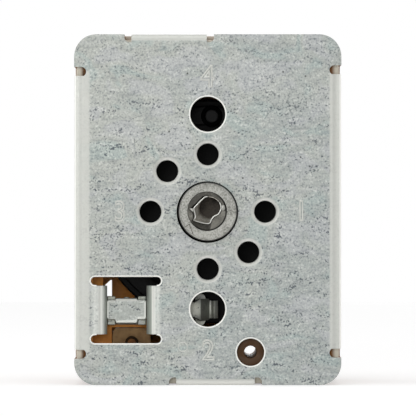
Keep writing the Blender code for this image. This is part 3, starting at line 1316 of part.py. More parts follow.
def build_moving():
    """The bodies that move, each hung on an empty at its joint."""
    cam_axis = axis_empty("cam_axis", "D", 0, 0, CAM_FRONT)
    carry(cam_axis, build_cam(), build_spindle(), build_spindle_clip(), build_spindle_spring())
    lever_axis = axis_empty("lever_axis", "Z", PIVOT_X, PIVOT_DEPTH, (LEVER_TOP + LEVER_BOTTOM) / 2)
    lever_rivet = build_rivet("heater_rivet", "D", (RIVET_X, RIVET_Z), HEATER_FRONT, LEVER_BACK, RIVET_RADIUS,
                              RIVET_HEAD_RADIUS, RIVET_HEAD, COPPER)
    carry(lever_axis, build_follower_lever(), lever_rivet)
    strip_axis = axis_empty("strip_axis", "Z", RIVET_X, BIMETAL_FRONT + BIMETAL_SHEET / 2, STRIP_Z)
    carry(strip_axis, build_bimetal_strip(), build_heater_plate(), build_heater_winding(), build_push_button())
    carry(lever_axis, strip_axis)
    snap_axis = axis_empty("snap_axis", "Z", SNAP_HINGE_X, SNAP_FRONT + SNAP_SHEET / 2, STRIP_Z)
    snap_contact = build_contact("main_moving_contact", "D", (MAIN_CONTACT_X, STRIP_Z), MAIN_MOVING_TIP,
                                 SNAP_FRONT - GAP, SNAP_BACK + GAP)
    carry(snap_axis, build_snap_blade(), snap_contact)
    line_axis = axis_empty("line_axis", "Z", LINE_HINGE_X, LINE_DEPTH, LINE_BLADE_Z + LINE_BLADE_SHEET / 2)
    line_contact = build_contact("line_moving_contact", "Z", (LINE_CONTACT_X, LINE_DEPTH), LINE_MOVING_TIP,
                                 LINE_BLADE_TOP + GAP, LINE_BLADE_Z - GAP)
    carry(line_axis, build_line_blade(), line_contact)
    pilot_axis = axis_empty("pilot_axis", "D", PILOT_BLADE_X + PILOT_BLADE_SHEET / 2, PILOT_HINGE_Z, PILOT_DEPTH)
    pilot_contact = build_contact("pilot_moving_contact", "X", (PILOT_DEPTH, PILOT_CONTACT_Z), PILOT_MOVING_TIP,
                                  PILOT_BLADE_OUT + GAP, PILOT_BLADE_X - GAP)
    carry(pilot_axis, build_pilot_blade(), pilot_contact)


def main():
    """Clears the scene and builds the switch at rest, in its off position."""
    for old in list(bpy.data.objects):
        bpy.data.objects.remove(old, do_unlink=True)
    build_root()
    build_moving()


main()
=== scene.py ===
"""Dressed view of an infinite control switch: galvanised plate, phenolic housing and the works inside."""

from __future__ import annotations

import logging
import math
from dataclasses import dataclass, field
from enum import Enum

import bmesh
import bpy
from bmesh.types import BMEdge, BMesh, BMFace, BMVert
from bpy.types import Material, NodeSocket, Object
from mathutils import Matrix, Vector


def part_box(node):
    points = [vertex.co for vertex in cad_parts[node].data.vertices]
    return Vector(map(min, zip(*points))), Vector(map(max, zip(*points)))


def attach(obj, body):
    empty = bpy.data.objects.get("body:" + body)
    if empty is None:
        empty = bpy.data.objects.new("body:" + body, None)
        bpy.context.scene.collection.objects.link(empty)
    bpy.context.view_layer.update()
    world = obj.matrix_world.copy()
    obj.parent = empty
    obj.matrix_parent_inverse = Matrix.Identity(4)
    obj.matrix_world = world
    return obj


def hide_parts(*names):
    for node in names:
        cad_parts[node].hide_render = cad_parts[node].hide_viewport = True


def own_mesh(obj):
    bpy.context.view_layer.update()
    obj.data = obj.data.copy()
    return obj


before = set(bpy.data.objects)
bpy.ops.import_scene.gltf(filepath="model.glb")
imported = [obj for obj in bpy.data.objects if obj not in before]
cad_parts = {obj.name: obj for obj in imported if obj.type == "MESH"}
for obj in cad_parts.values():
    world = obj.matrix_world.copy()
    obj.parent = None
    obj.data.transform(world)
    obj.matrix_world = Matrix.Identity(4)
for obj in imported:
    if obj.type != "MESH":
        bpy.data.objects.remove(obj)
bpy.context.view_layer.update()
LOG = logging.getLogger("switch")

Colour = tuple[float, float, float, float]
Paint = Colour | NodeSocket
Limits = tuple[float, float, float, float]
Point = tuple[float, float]
Span = tuple[float, float]
Profile = tuple[Point, ...]
Edges = list[BMEdge]

CRISP_ANGLE = 35.0


def srgb(red: int, green: int, blue: int) -> Colour:
    """Turn a colour as seen on screen into the linear colour that shaders use.

    Args:
        red: Red, 0 to 255.
        green: Green, 0 to 255.
        blue: Blue, 0 to 255.

    Returns:
        The linear colour with a full alpha.
    """
    linear = [part / 255 / 12.92 if part <= 10 else ((part / 255 + 0.055) / 1.055) ** 2.4
              for part in (red, green, blue)]
    return (linear[0], linear[1], linear[2], 1.0)


@dataclass(frozen=True)
class Datum:
    """Where the shaft's axis meets the plate's front face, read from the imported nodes."""

    front: float
    shaft: float

    @classmethod
    def from_frame(cls) -> Datum:
        """Read the datum from the boxes of the plate and the cam.

        Returns:
            The datum.
        """
        plate_low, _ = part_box("front_plate")
        low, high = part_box("cam_disc")
        return cls(front=plate_low.y, shaft=(low.z + high.z) / 2)

    def at(self, x: float, depth: float, z: float) -> Vector:
        """Return the point for a place measured from the shaft and the plate's front face."""
        return Vector((x, self.front + depth, self.shaft + z))


DATUM = Datum.from_frame()


class Side(Enum):
    """The four folded sides of the front plate, each with its direction into the plate."""

    BOTTOM = Vector((0, 0, 1))
    RIGHT = Vector((-1, 0, 0))
    TOP = Vector((0, 0, -1))
    LEFT = Vector((1, 0, 0))


# Shaders


class Channel:
    """One value in a shader that takes part in Python expressions."""

    def __init__(self, graph: ShaderGraph, socket: NodeSocket) -> None:
        """Wrap an output socket of a graph."""
        self.graph = graph
        self.socket = socket

    def _math(self, operation: str, first: Channel | float, second: Channel | float) -> Channel:
        """Add a Math node and return its result.

        Args:
            operation: The Math node's operation.
            first: Left operand.
            second: Right operand.

        Returns:
            The node's output as a channel.
        """
        made = self.graph.node("ShaderNodeMath", {"operation": operation}, {0: first, 1: second})
        return Channel(self.graph, made.outputs[0])

    def __add__(self, other: Channel | float) -> Channel:
        """Return self + other."""
        return self._math("ADD", self, other)

    def __radd__(self, other: float) -> Channel:
        """Return other + self."""
        return self._math("ADD", other, self)

    def __sub__(self, other: Channel | float) -> Channel:
        """Return self - other."""
        return self._math("SUBTRACT", self, other)

    def __rsub__(self, other: float) -> Channel:
        """Return other - self."""
        return self._math("SUBTRACT", other, self)

    def __mul__(self, other: Channel | float) -> Channel:
        """Return self * other."""
        return self._math("MULTIPLY", self, other)

    def __rmul__(self, other: float) -> Channel:
        """Return other * self."""
        return self._math("MULTIPLY", other, self)

    def __pow__(self, other: Channel | float) -> Channel:
        """Return self raised to other."""
        return self._math("POWER", self, other)

    def above(self, edge: float) -> Channel:
        """Return 1 where the value is above an edge, else 0."""
        return self._math("GREATER_THAN", self, edge)

    def most(self, other: Channel | float) -> Channel:
        """Return the larger of two values."""
        return self._math("MAXIMUM", self, other)

    def sine(self) -> Channel:
        """Return the sine of the value."""
        return self._math("SINE", self, 0.0)

    def ramp(self, low: float, high: float) -> Channel:
        """Stretch the span from low to high over 0 to 1, smoothly and clamped.

        Args:
            low: Value that becomes 0.
            high: Value that becomes 1.

        Returns:
            The stretched channel.
        """
        made = self.graph.node("ShaderNodeMapRange", {"interpolation_type": "SMOOTHSTEP"},
                               {"Value": self, "From Min": low, "From Max": high})
        return Channel(self.graph, made.outputs[0])

    def within(self, low: float, high: float) -> Channel:
        """Return 1 where the value lies between two edges, else 0."""
        return self.above(low) * (1 - self.above(high))

    def between(self, limits: Limits) -> Channel:
        """Return a soft band; its limits are where it is 0 and 1 at one side, then at the other."""
        return self.ramp(limits[0], limits[1]) * self.ramp(limits[2], limits[3])


class ShaderGraph:
    """A material's node tree, built up from patterns on Object coordinates."""

    def __init__(self, name: str) -> None:
        """Start a material with a Principled shader.

        Args:
            name: The material's name.
        """
        self.material = bpy.data.materials.new(name)
        self.material.use_nodes = True
        self.tree = self.material.node_tree
        self.shader = self.tree.nodes["Principled BSDF"]
        texture = self.node("ShaderNodeTexCoord", {}, {})
        self.coordinates = texture.outputs["Object"]
        self.normals = texture.outputs["Normal"]

    def node(self, kind: str, settings: dict[str, object],
             values: dict[str | int, object]) -> bpy.types.Node:
        """Make one node.

        Args:
            kind: The node's type.
            settings: Properties to set first.
            values: Numbers, colours, channels or sockets for its inputs.

        Returns:
            The node.
        """
        made = self.tree.nodes.new(kind)
        for key, value in settings.items():
            setattr(made, key, value)
        for key, value in values.items():
            self._feed(made.inputs[key], value)
        return made

    def _feed(self, entry: NodeSocket, value: float | Paint | Channel) -> None:
        """Set or link one input.

        Args:
            entry: The input.
            value: A number, a colour, a channel or a socket.
        """
        if isinstance(value, Channel):
            value = value.socket
        if isinstance(value, NodeSocket):
            self.tree.links.new(value, entry)
        else:
            entry.default_value = value

    def stretched(self, scale: tuple[float, float, float],
                  offset: tuple[float, float, float] = (0, 0, 0)) -> NodeSocket:
        """Return Object coordinates moved and scaled, for a pattern that runs one way."""
        values = {"Vector": self.coordinates, "Location": offset, "Scale": scale}
        return self.node("ShaderNodeMapping", {}, values).outputs[0]

    def noise(self, size: float, detail: float = 3.0, roughness: float = 0.55, distortion: float = 0.0,
              vector: NodeSocket | None = None) -> Channel:
        """Return a soft noise.

        Args:
            size: Size of its largest features, in metres.
            detail: Number of finer octaves.
            roughness: Strength of the finer octaves.
            distortion: How far the pattern is warped.
            vector: Coordinates, or None for the plain Object ones.

        Returns:
            Values around 0.5.
        """
        values = {"Vector": vector or self.coordinates, "Scale": 1 / size, "Detail": detail,
                  "Roughness": roughness, "Distortion": distortion}
        return Channel(self, self.node("ShaderNodeTexNoise", {}, values).outputs[0])

    def cells(self, size: float) -> Channel:
        """Return the distance from the middles of scattered cells of a given size."""
        values = {"Vector": self.coordinates, "Scale": 1 / size}
        return Channel(self, self.node("ShaderNodeTexVoronoi", {}, values).outputs["Distance"])

    def _part(self, vector: NodeSocket, index: int) -> Channel:
        """Return one of the three parts of a vector."""
        return Channel(self, self.node("ShaderNodeSeparateXYZ", {}, {0: vector}).outputs[index])

    def across(self) -> Channel:
        """Return the place across, from the shaft's axis."""
        return self._part(self.coordinates, 0)

    def depth(self) -> Channel:
        """Return the depth behind the plate's front face."""
        return self._part(self.coordinates, 1) - DATUM.front

    def height(self, zero: float = 0.0) -> Channel:
        """Return the height above the shaft's axis, or above a point over it."""
        return self._part(self.coordinates, 2) - (DATUM.shaft + zero)

    def facing(self, index: int) -> Channel:
        """Return one of the three parts of the surface's own direction."""
        return self._part(self.normals, index)

    def distance(self, x: float, z: float) -> Channel:
        """Return the distance from an axis along the depth.

        Args:
            x: The axis's place across, from the shaft.
            z: Its height, from the shaft.

        Returns:
            The distance in metres.
        """
        across = self.across() - x
        height = self.height(z)
        return (across * across + height * height) ** 0.5

    def tilt_from_front(self) -> Channel:
        """Return 0 on faces that look along the depth, rising to 1 where they look sideways."""
        along = self.facing(1)
        return 1 - along * along

    def blend(self, factor: Channel | float, first: Paint, second: Paint) -> NodeSocket:
        """Mix two colours.

        Args:
            factor: Share of the second colour.
            first: First colour or socket.
            second: Second colour or socket.

        Returns:
            The mixed colour's socket.
        """
        made = self.node("ShaderNodeMix", {"data_type": "RGBA"}, {0: factor, 6: first, 7: second})
        return made.outputs[2]

    def layered(self, ground: Paint, *layers: tuple[Channel, Paint]) -> NodeSocket:
        """Lay colours over a ground, one after the other.

        Args:
            ground: The first colour or socket.
            layers: Pairs of a share and the colour that is laid over with it.

        Returns:
            The mixed colour's socket.
        """
        for share, colour in layers:
            ground = self.blend(share, ground, colour)
        return ground

    def connect(self, name: str, value: float | Paint | Channel) -> None:
        """Set one input of the Principled shader to a number, a colour, a channel or a socket."""
        self._feed(self.shader.inputs[name], value)

    def bump(self, height: Channel, depth: float, strength: float) -> None:
        """Raise the surface by a height pattern.

        Args:
            height: The pattern, 0 to 1.
            depth: Depth of the relief, in metres.
            strength: Share of the relief that shows.
        """
        values = {"Height": height, "Distance": depth, "Strength": strength}
        self.connect("Normal", self.node("ShaderNodeBump", {}, values).outputs[0])


# Finishes


class Finish:
    """A procedural finish that is built anew for each piece."""

    def material(self, name: str) -> Material:
        """Build the finish under a name.

        Args:
            name: The material's name.

        Returns:
            The material.
        """
        graph = ShaderGraph(name)
        self.paint(graph)
        return graph.material

    def paint(self, graph: ShaderGraph) -> None:
        """Lay the finish's own patterns on a new material."""
        raise NotImplementedError


@dataclass(frozen=True)
class Galvanised(Finish):
    """Zinc-coated sheet: grey, mottled and specked, painted lighter towards the upper left, with painted
    highlights on its bends, a lighter band beside the side folds, and painted light and shade in the window.
    """

    # The warm tone is also the lighter one, painted towards the upper left as painted light.
    warm: Colour = srgb(173, 176, 170)
    cool: Colour = srgb(163, 168, 165)
    dull: Colour = srgb(104, 111, 114)
    bright: Colour = srgb(216, 218, 213)
    speck: Colour = srgb(66, 73, 82)
    dot: Colour = srgb(48, 48, 46)
    lilac: Colour = srgb(177, 179, 181)
    teal: Colour = srgb(159, 173, 170)
    # Painted light and shade, not colours of the zinc: the next four colours go on faces turned from the
    # front, on faces that look down, on the window's folds and on faces behind the window.
    bend: Colour = srgb(198, 199, 193)
    under: Colour = srgb(248, 248, 243)
    fold_painted_light: Colour = srgb(234, 235, 228)
    window_painted_shade: Colour = srgb(134, 141, 132)
    calm_height: Span = (0.015, 0.025)
    # The bands beside the side folds, which are painted lighter together with the bends.
    side_band_left: Span = (-0.0203, -0.0209)
    side_band_right: Span = (0.021, 0.0215)
    side_band_height: Span = (0.0243, 0.0248)
    skirt_place: float = 0.0222
    window: Limits = (-0.0207, -0.0079, -0.0234, -0.0109)
    left_fold: Limits = (-0.0186, -0.0192, -0.0207, -0.0196)
    right_fold: Limits = (-0.0099, -0.0092, -0.0079, -0.0088)
    fold_rows: Limits = (-0.0224, -0.0212, -0.0117, -0.0129)
    face_skin: float = 0.00003
    metallic: float = 0.45
    roughness: float = 0.5

    def paint(self, graph: ShaderGraph) -> None:
        """Lay on the mottling, painted highlights on the bends and painted light and shade in the window.

        Args:
            graph: The material's graph.
        """
        worm = graph.noise(0.00055, 1.0, 0.5, 1.6)
        grain = graph.noise(0.00034, 1.0, 0.5)
        colour = self._mottled(graph, worm, grain)
        colour = self._bent(graph, colour, worm)
        graph.connect("Base Color", self._windowed(graph, colour))
        graph.connect("Metallic", self.metallic)
        graph.connect("Roughness", self.roughness + (worm - 0.5) * 0.3)
        graph.bump(grain * 0.4 + worm * 0.6, 0.00005, 0.5)

    def _mottled(self, graph: ShaderGraph, worm: Channel, grain: Channel) -> NodeSocket:
        """Mix the flat sheet's colour from soft tints, rolling streaks, specks and dots, with painted light
        that makes it lighter towards the upper left.

        Args:
            graph: The material's graph.
            worm: Fine crooked noise.
            grain: The finest noise.

        Returns:
            The flat sheet's colour.
        """
        blotch = graph.noise(0.009, 2.0, 0.5, 0.5)
        cloud = graph.noise(0.0024, 3.0, 0.6, 0.8, graph.stretched((0.6, 1.0, 1.3)))
        streak = graph.noise(0.0013, 3.0, 0.6, 0.6, graph.stretched((0.45, 1.0, 1.5)))
        tint = graph.noise(0.0052, 2.0, 0.5, 0.9, graph.stretched((0.7, 1.0, 1.2), (0.013, 0.0, 0.021)))
        # Painted light: the lighter warm tone is laid towards the upper left, where the light falls, broken
        # up by blotches.
        aside = (graph.across() * 8 - graph.height() * 5) + (blotch - 0.5) * 1.2
        pits = (grain * 0.6 + worm * 0.4).ramp(0.5, 0.3) * (1.08 - cloud)
        glints = (grain * 0.35 + worm * 0.35 + streak * 0.3).ramp(0.5, 0.7)
        specks = (grain * 0.5 + worm * 0.25 + cloud * 0.75).ramp(0.655, 0.56)
        calm = 1 - graph.height().ramp(*self.calm_height) * 0.6
        dots = graph.cells(0.0026).ramp(0.085, 0.045) * (cloud * 0.5 + tint * 0.5).ramp(0.47, 0.53)
        return graph.layered(
            self.cool,
            (aside.ramp(0.22, -0.22), self.warm),
            (tint.ramp(0.5, 0.64) * 0.55, self.lilac),
            (tint.ramp(0.47, 0.34) * 0.55, self.teal),
            (pits, self.dull),
            (glints * 0.75, self.bright),
            ((streak * 0.7 + grain * 0.3).ramp(0.5, 0.34) * 0.32, self.dull),
            (specks * calm * 0.76, self.speck),
            (dots * 0.8, self.dot))

    def _bent(self, graph: ShaderGraph, colour: Paint, worm: Channel) -> NodeSocket:
        """Paint highlights on the bends, on the faces that look down and on the outer skirts, and lighten the
        bands beside the side folds.

        Args:
            graph: The material's graph.
            colour: The flat sheet's colour.
            worm: Fine crooked noise.

        Returns:
            The colour with its bends.
        """
        across = graph.across()
        height = graph.height()
        tilt = graph.tilt_from_front()
        skirt = 1 - tilt.ramp(0.985, 0.9995)
        low, high = self.side_band_height
        sides = across.ramp(*self.side_band_left).most(across.ramp(*self.side_band_right))
        side_band = sides * (1 - (height * height).ramp(low**2, high**2))
        outer = (across * across).above(self.skirt_place**2)
        # Painted highlight: faces turned from the front, faces that look down and the outer skirts are
        # painted lighter (darker on the shaded copies), and so are the bands beside the side folds.
        return graph.layered(
            colour,
            (tilt.ramp(0.002, 0.05).most(side_band) * skirt * (0.98 - worm * 0.25), self.bend),
            (graph.facing(2).ramp(-0.1, -0.6) * skirt * 0.8, self.under),
            (tilt.ramp(0.6, 0.75) * skirt * outer * 0.9, self.under))

    def _windowed(self, graph: ShaderGraph, colour: Paint) -> NodeSocket:
        """Paint highlights on the folds of the window's flaps and painted shade on the sideways faces behind
        the front.

        Args:
            graph: The material's graph.
            colour: The colour with its bends.

        Returns:
            The finished colour.
        """
        across = graph.across()
        height = graph.height()
        left, right, low, high = self.window
        framed = across.within(left, right) * height.within(low, high)
        fold = graph.noise(0.0007, 2.0, 0.5, 0.0, graph.stretched((1.6, 1.0, 0.12)))
        folds = across.between(self.left_fold).most(across.between(self.right_fold))
        lean = graph.facing(0)
        away = lean.most(lean * -1)
        shade = lean.ramp(-0.4, -0.56).most(lean.ramp(0.5, 1.0))
        behind = graph.depth().above(self.face_skin)
        # Painted light in the window: highlights on the flaps' folds and on faces that lean a little
        # sideways, and painted shade on faces that lean further, behind the front face.
        return graph.layered(
            colour,
            (folds * height.between(self.fold_rows) * (fold * 0.8), self.fold_painted_light),
            (away.ramp(0.3, 0.42) * (1 - away.ramp(0.5, 0.62)) * framed * 0.6, self.fold_painted_light),
            (shade * framed * behind * 0.85, self.window_painted_shade))


@dataclass(frozen=True)
class Phenolic(Finish):
    """Brown moulded phenolic with a faint flow pattern and a satin skin."""

    colour: Colour = srgb(146, 96, 48)
    shade: Colour = srgb(126, 80, 38)
    # Painted light: a lighter, warmer copy of the brown, in two tones, for the inside of the cavity.
    inner: Colour = srgb(214, 146, 72)
    inner_shade: Colour = srgb(190, 120, 54)
    # Painted highlight: a pale cream for the outer edges that show through the plate's notches.
    shoulder: Colour = srgb(226, 218, 202)
    # Painted shade: a dark brown round the boss's hole.
    boss: Colour = srgb(82, 54, 28)
    boss_place: tuple[float, float, float] = (0.00745, -0.0245, 0.0027)
    boss_depth: float = 0.006
    cavity: tuple[float, float, float] = (0.0204, 0.0272, 0.0222)
    middle: float = 0.0306
    # Where the painted highlight on the outer edges lies: across, up and along the depth.
    lit_edge_width: Span = (0.0215, 0.0224)
    lit_edge_height: Span = (0.0286, 0.0291)
    lit_edge_depth: Span = (0.0004, 0.0102)
    roughness: float = 0.42
    gloss: float = 0.2

    def paint(self, graph: ShaderGraph) -> None:
        """Lay on the flow pattern, painted light that makes the cavity's inside lighter and warmer, painted
        shade round the boss and a painted highlight on the outer edges behind the plate's notches.

        Args:
            graph: The material's graph.
        """
        flow = graph.noise(0.009, 5.0, 0.6, 1.6)
        fleck = graph.noise(0.0006, 3.0, 0.6)
        mask = (flow * 0.6 + fleck * 0.4).ramp(0.34, 0.7)
        depth = graph.depth()
        width, tall, back = self.cavity
        aside = graph.across() * graph.across()
        rise = graph.height(self.middle - DATUM.shaft)
        rise = rise * rise
        inside = (1 - aside.above(width**2)) * (1 - rise.above(tall**2)) * (1 - depth.above(back))
        x, z, radius = self.boss_place
        near = 1 - graph.distance(x, z).above(radius)
        wide = [edge**2 for edge in self.lit_edge_width]
        high = [edge**2 for edge in self.lit_edge_height]
        outside = aside.ramp(*wide).most(rise.ramp(*high))
        facing = 1 - graph.facing(1).above(-0.25)
        # The cavity's inside gets painted light, the boss painted shade and the outer edges a painted
        # highlight.
        graph.connect("Base Color", graph.layered(
            self.shade,
            (mask, self.colour),
            (inside, graph.blend(mask, self.inner_shade, self.inner)),
            (near * (1 - depth.above(self.boss_depth)), self.boss),
            (outside * facing * depth.within(*self.lit_edge_depth), self.shoulder)))
        graph.connect("Roughness", self.roughness + (fleck - 0.5) * 0.3)
        graph.connect("Specular IOR Level", self.gloss)
        graph.bump(fleck * 0.6 + flow * 0.4, 0.00005, 0.4)


@dataclass(frozen=True)
class TurnedMetal(Finish):
    """Zinc alloy turned on a lathe, with fine rings round the shaft's axis, and painted shade on its shelf
    and down its socket.
    """

    colour: Colour = srgb(168, 168, 162)
    shade: Colour = srgb(104, 104, 98)
    # A near-black for the groove's line and for painted shade: the mouth's edge, the shadow crescent, the
    # line along the grip's flat and the rim round the hub.
    edge: Colour = srgb(30, 29, 27)
    # Painted shade on the shelf, mixed at random between two tones.
    shelf: Colour = srgb(134, 132, 124)
    shelf_shade_dark: Colour = srgb(104, 102, 96)
    # Painted shade that darkens the socket further down.
    deep_shade: Colour = srgb(50, 43, 38)
    mouth: tuple[float, float, float] = (-0.0001, 0.00007, 0.00336)
    inner: float = 0.0042
    face_depth: float = -0.0012
    shelf_depth: float = -0.0004
    groove: float = 0.00478
    groove_width: float = 0.0001
    # Places of painted shadow: the line along the grip's flat and the dark rim round the hub.
    flat_gap: Span = (0.0031, 0.00342)
    flat_span: Span = (-0.0021, 0.002)
    flat_soft: float = 0.00008
    rim: float = 0.00497
    rim_soft: float = 0.00005
    skin: float = 0.00001
    ring_pitch: float = 0.00016
    metallic: float = 0.6
    roughness: float = 0.42

    def paint(self, graph: ShaderGraph) -> None:
        """Lay on the turned face, painted shade on the mouth, the shelf and down the socket, and painted
        shadow lines.

        Args:
            graph: The material's graph.
        """
        radius = graph.distance(0, 0)
        depth = graph.depth()
        wander = graph.noise(0.0016, 3.0)
        rings = (radius * (math.tau / self.ring_pitch) + wander * 5.0).sine() * 0.5 + 0.5
        grain = graph.noise(0.0003, 3.0)
        off = radius - self.groove
        groove = (1 - (off * off) ** 0.5 * (1 / self.groove_width)).most(0.0)
        in_front = 1 - depth.above(self.face_depth + self.skin)
        inner = 1 - radius.above(self.inner)
        tone = graph.blend((wander * 0.6 + grain * 0.4).ramp(0.4, 0.6), self.shelf_shade_dark, self.shelf)
        x, z, mouth = self.mouth
        across = graph.across() - x
        height = graph.height(z)
        rise = height - across
        shadow = graph.distance(x, z).ramp(mouth - 0.00026, mouth - 0.0001) \
            * (across - height).ramp(-0.0032, 0.0012)
        near, far = self.flat_gap
        gap = rise.between((near - self.flat_soft, near, far + self.flat_soft, far)) \
            * (height + across).within(*self.flat_span) * depth.above(self.face_depth + 0.0002)
        # Painted shade: the mouth's edge, the shelf and the socket are painted darker going in, with a
        # painted shadow crescent in the mouth, a painted shadow line along the grip's flat and a dark painted
        # rim where the hub meets the plate.
        graph.connect("Base Color", graph.layered(
            self.shade,
            ((wander * 0.35 + grain * 0.65 + rings * 0.1).ramp(0.38, 0.66), self.colour),
            (groove * in_front * 0.35, self.edge),
            (depth.above(self.face_depth + 2 * self.skin) * inner, self.edge),
            (depth.above(self.shelf_depth - 5 * self.skin) * inner, graph.blend(shadow, tone, self.edge)),
            (depth.ramp(self.shelf_depth + 3 * self.skin, self.shelf_depth + 0.0022) * inner, self.deep_shade),
            (gap, self.edge),
            (radius.ramp(self.rim - self.rim_soft, self.rim) * 0.9, self.edge)))
        sunk = depth.ramp(self.shelf_depth, self.shelf_depth + 0.001)
        graph.connect("Metallic", self.metallic * (1 - sunk))
        graph.connect("Roughness", self.roughness + rings * 0.12)
        graph.bump(rings * 0.5 + grain * 0.5, 0.00003, 0.5)


@dataclass(frozen=True)
class GripSteel(Finish):
    """Spring steel with a bright rim and oily smears, and painted shade that darkens it down the socket."""

    rim: Colour = srgb(202, 202, 196)
    wall: Colour = srgb(210, 209, 202)
    oily: Colour = srgb(180, 174, 162)
    # Painted shade at the bottom of the socket.
    deep_shade: Colour = srgb(104, 92, 82)
    start: float = -0.0004
    rim_height: float = 0.0002
    dulled: float = 0.0015
    darkening: Span = (0.0014, 0.0034)

    def paint(self, graph: ShaderGraph) -> None:
        """Lay on the bright rim, the smeared wall and painted shade at the bottom.

        Args:
            graph: The material's graph.
        """
        depth = graph.depth() - self.start
        smear = graph.noise(0.0009, 3.0, 0.6, 1.0)
        grain = graph.noise(0.0003, 2.0)
        wall = graph.blend((smear * 0.6 + grain * 0.4).ramp(0.42, 0.6), self.oily, self.wall)
        # Painted shade: the steel is painted darker the further it lies down the socket.
        graph.connect("Base Color", graph.layered(
            self.rim, (depth.ramp(0, self.rim_height), wall), (depth.ramp(*self.darkening), self.deep_shade)))
        graph.connect("Metallic", 0.5 * (1 - depth.ramp(0, self.dulled)))
        graph.connect("Roughness", 0.34 + (smear - 0.5) * 0.3)
        graph.bump(smear * 0.6 + grain * 0.4, 0.00003, 0.5)


@dataclass(frozen=True)
class BareMetal(Finish):
    """Cold-formed metal with drawing marks and a little tarnish: brass, bronze, copper, silver or steel."""

    colour: Colour
    tarnish: Colour
    metallic: float = 0.9
    roughness: float = 0.32
    gloss: float = 0.5

    def paint(self, graph: ShaderGraph) -> None:
        """Lay on the tarnish, the drawing marks and small spots.

        Args:
            graph: The material's graph.
        """
        cloud = graph.noise(0.0035, 4.0, 0.6, 0.6)
        marks = graph.noise(0.0009, 4.0, 0.7, 0.0, graph.stretched((1.0, 0.18, 1.0)))
        spots = graph.noise(0.0004, 2.0)
        mask = (cloud * 0.6 + marks * 0.3 + spots * 0.2).ramp(0.44, 0.68)
        graph.connect("Base Color", graph.blend(mask, self.tarnish, self.colour))
        graph.connect("Metallic", self.metallic)
        graph.connect("Roughness", self.roughness + (marks - 0.5) * 0.3 + (0.5 - cloud) * 0.15)
        graph.connect("Specular IOR Level", self.gloss)
        graph.bump(marks * 0.7 + spots * 0.3, 0.00003, 0.4)


@dataclass(frozen=True)
class BlackMoulding(Finish):
    """Black glass-filled plastic with a fine grain and slightly grey flow marks."""

    colour: Colour = srgb(31, 31, 31)
    shade: Colour = srgb(18, 18, 18)
    roughness: float = 0.55
    gloss: float = 0.1

    def paint(self, graph: ShaderGraph) -> None:
        """Lay on the flow marks and the grain.

        Args:
            graph: The material's graph.
        """
        flow = graph.noise(0.005, 4.0, 0.6, 1.0)
        grain = graph.noise(0.00025, 3.0)
        mask = (flow * 0.6 + grain * 0.4).ramp(0.4, 0.65)
        graph.connect("Base Color", graph.blend(mask, self.shade, self.colour))
        graph.connect("Roughness", self.roughness + (grain - 0.5) * 0.25)
        graph.connect("Specular IOR Level", self.gloss)
        graph.bump(grain, 0.00004, 0.45)


@dataclass(frozen=True)
class Mica(Finish):
    """Tan mica board with flakes and darker cloudy patches."""

    colour: Colour = srgb(150, 119, 82)
    shade: Colour = srgb(128, 100, 67)
    roughness: float = 0.6
    gloss: float = 0.15

    def paint(self, graph: ShaderGraph) -> None:
        """Lay on the clouds and the flakes.

        Args:
            graph: The material's graph.
        """
        flakes = graph.cells(0.0007)
        cloud = graph.noise(0.002, 4.0)
        mask = (cloud * 0.7 + flakes * 0.4).ramp(0.35, 0.75)
        graph.connect("Base Color", graph.blend(mask, self.shade, self.colour))
        graph.connect("Roughness", self.roughness + (flakes - 0.4) * 0.3)
        graph.connect("Specular IOR Level", self.gloss)
        graph.bump(flakes * 0.5 + cloud * 0.5, 0.00004, 0.5)


@dataclass(frozen=True)
class Steatite(Finish):
    """Off-white ceramic with fine pores."""

    colour: Colour = srgb(226, 220, 204)
    shade: Colour = srgb(196, 186, 166)
    roughness: float = 0.45

    def paint(self, graph: ShaderGraph) -> None:
        """Lay on the clouds and the pores.

        Args:
            graph: The material's graph.
        """
        pores = graph.noise(0.0003, 3.0)
        cloud = graph.noise(0.0015, 3.0)
        mask = (pores * 0.4 + cloud * 0.6).ramp(0.35, 0.65)
        graph.connect("Base Color", graph.blend(mask, self.shade, self.colour))
        graph.connect("Roughness", self.roughness + (pores - 0.5) * 0.2)
        graph.bump(pores, 0.00003, 0.4)


ZINC = Galvanised()
ZINC_SHADED = Galvanised(warm=srgb(226, 226, 212), cool=srgb(214, 215, 202), dull=srgb(186, 188, 176),
                         bend=srgb(138, 140, 132), under=srgb(96, 90, 76), fold_painted_light=srgb(138, 140, 132),
                         window_painted_shade=srgb(96, 90, 76))
ZINC_SADDLE = Galvanised(warm=srgb(174, 177, 170), cool=srgb(166, 170, 165), dull=srgb(140, 144, 138),
                         bend=srgb(214, 216, 209), under=srgb(206, 207, 199), fold_painted_light=srgb(236, 236, 230),
                         window_painted_shade=srgb(206, 207, 199))
# A darker copy of the zinc for the claws and the pivot pin: painted shade.
ZINC_CLAW_SHADED = Galvanised(warm=srgb(160, 162, 148), cool=srgb(150, 153, 142), dull=srgb(130, 132, 122),
                       bend=srgb(150, 152, 140), under=srgb(110, 112, 102), fold_painted_light=srgb(150, 152, 140),
                       window_painted_shade=srgb(120, 122, 112))
# A much lighter copy of the zinc for the beads round the openings: a painted highlight.
ZINC_RIM_HIGHLIGHT = Galvanised(warm=srgb(240, 240, 234), cool=srgb(232, 233, 227), dull=srgb(214, 215, 209),
                      bend=srgb(248, 248, 242), fold_painted_light=srgb(248, 248, 242), window_painted_shade=srgb(226, 227, 220))
# A lighter copy of the zinc for the raised numbers and the gauge mark: a painted highlight on their edges.
ZINC_MARK_HIGHLIGHT = Galvanised(warm=srgb(224, 225, 217), cool=srgb(214, 217, 211), dull=srgb(180, 184, 180))
BROWN = Phenolic()
HUB = TurnedMetal()
GRIP = GripSteel()
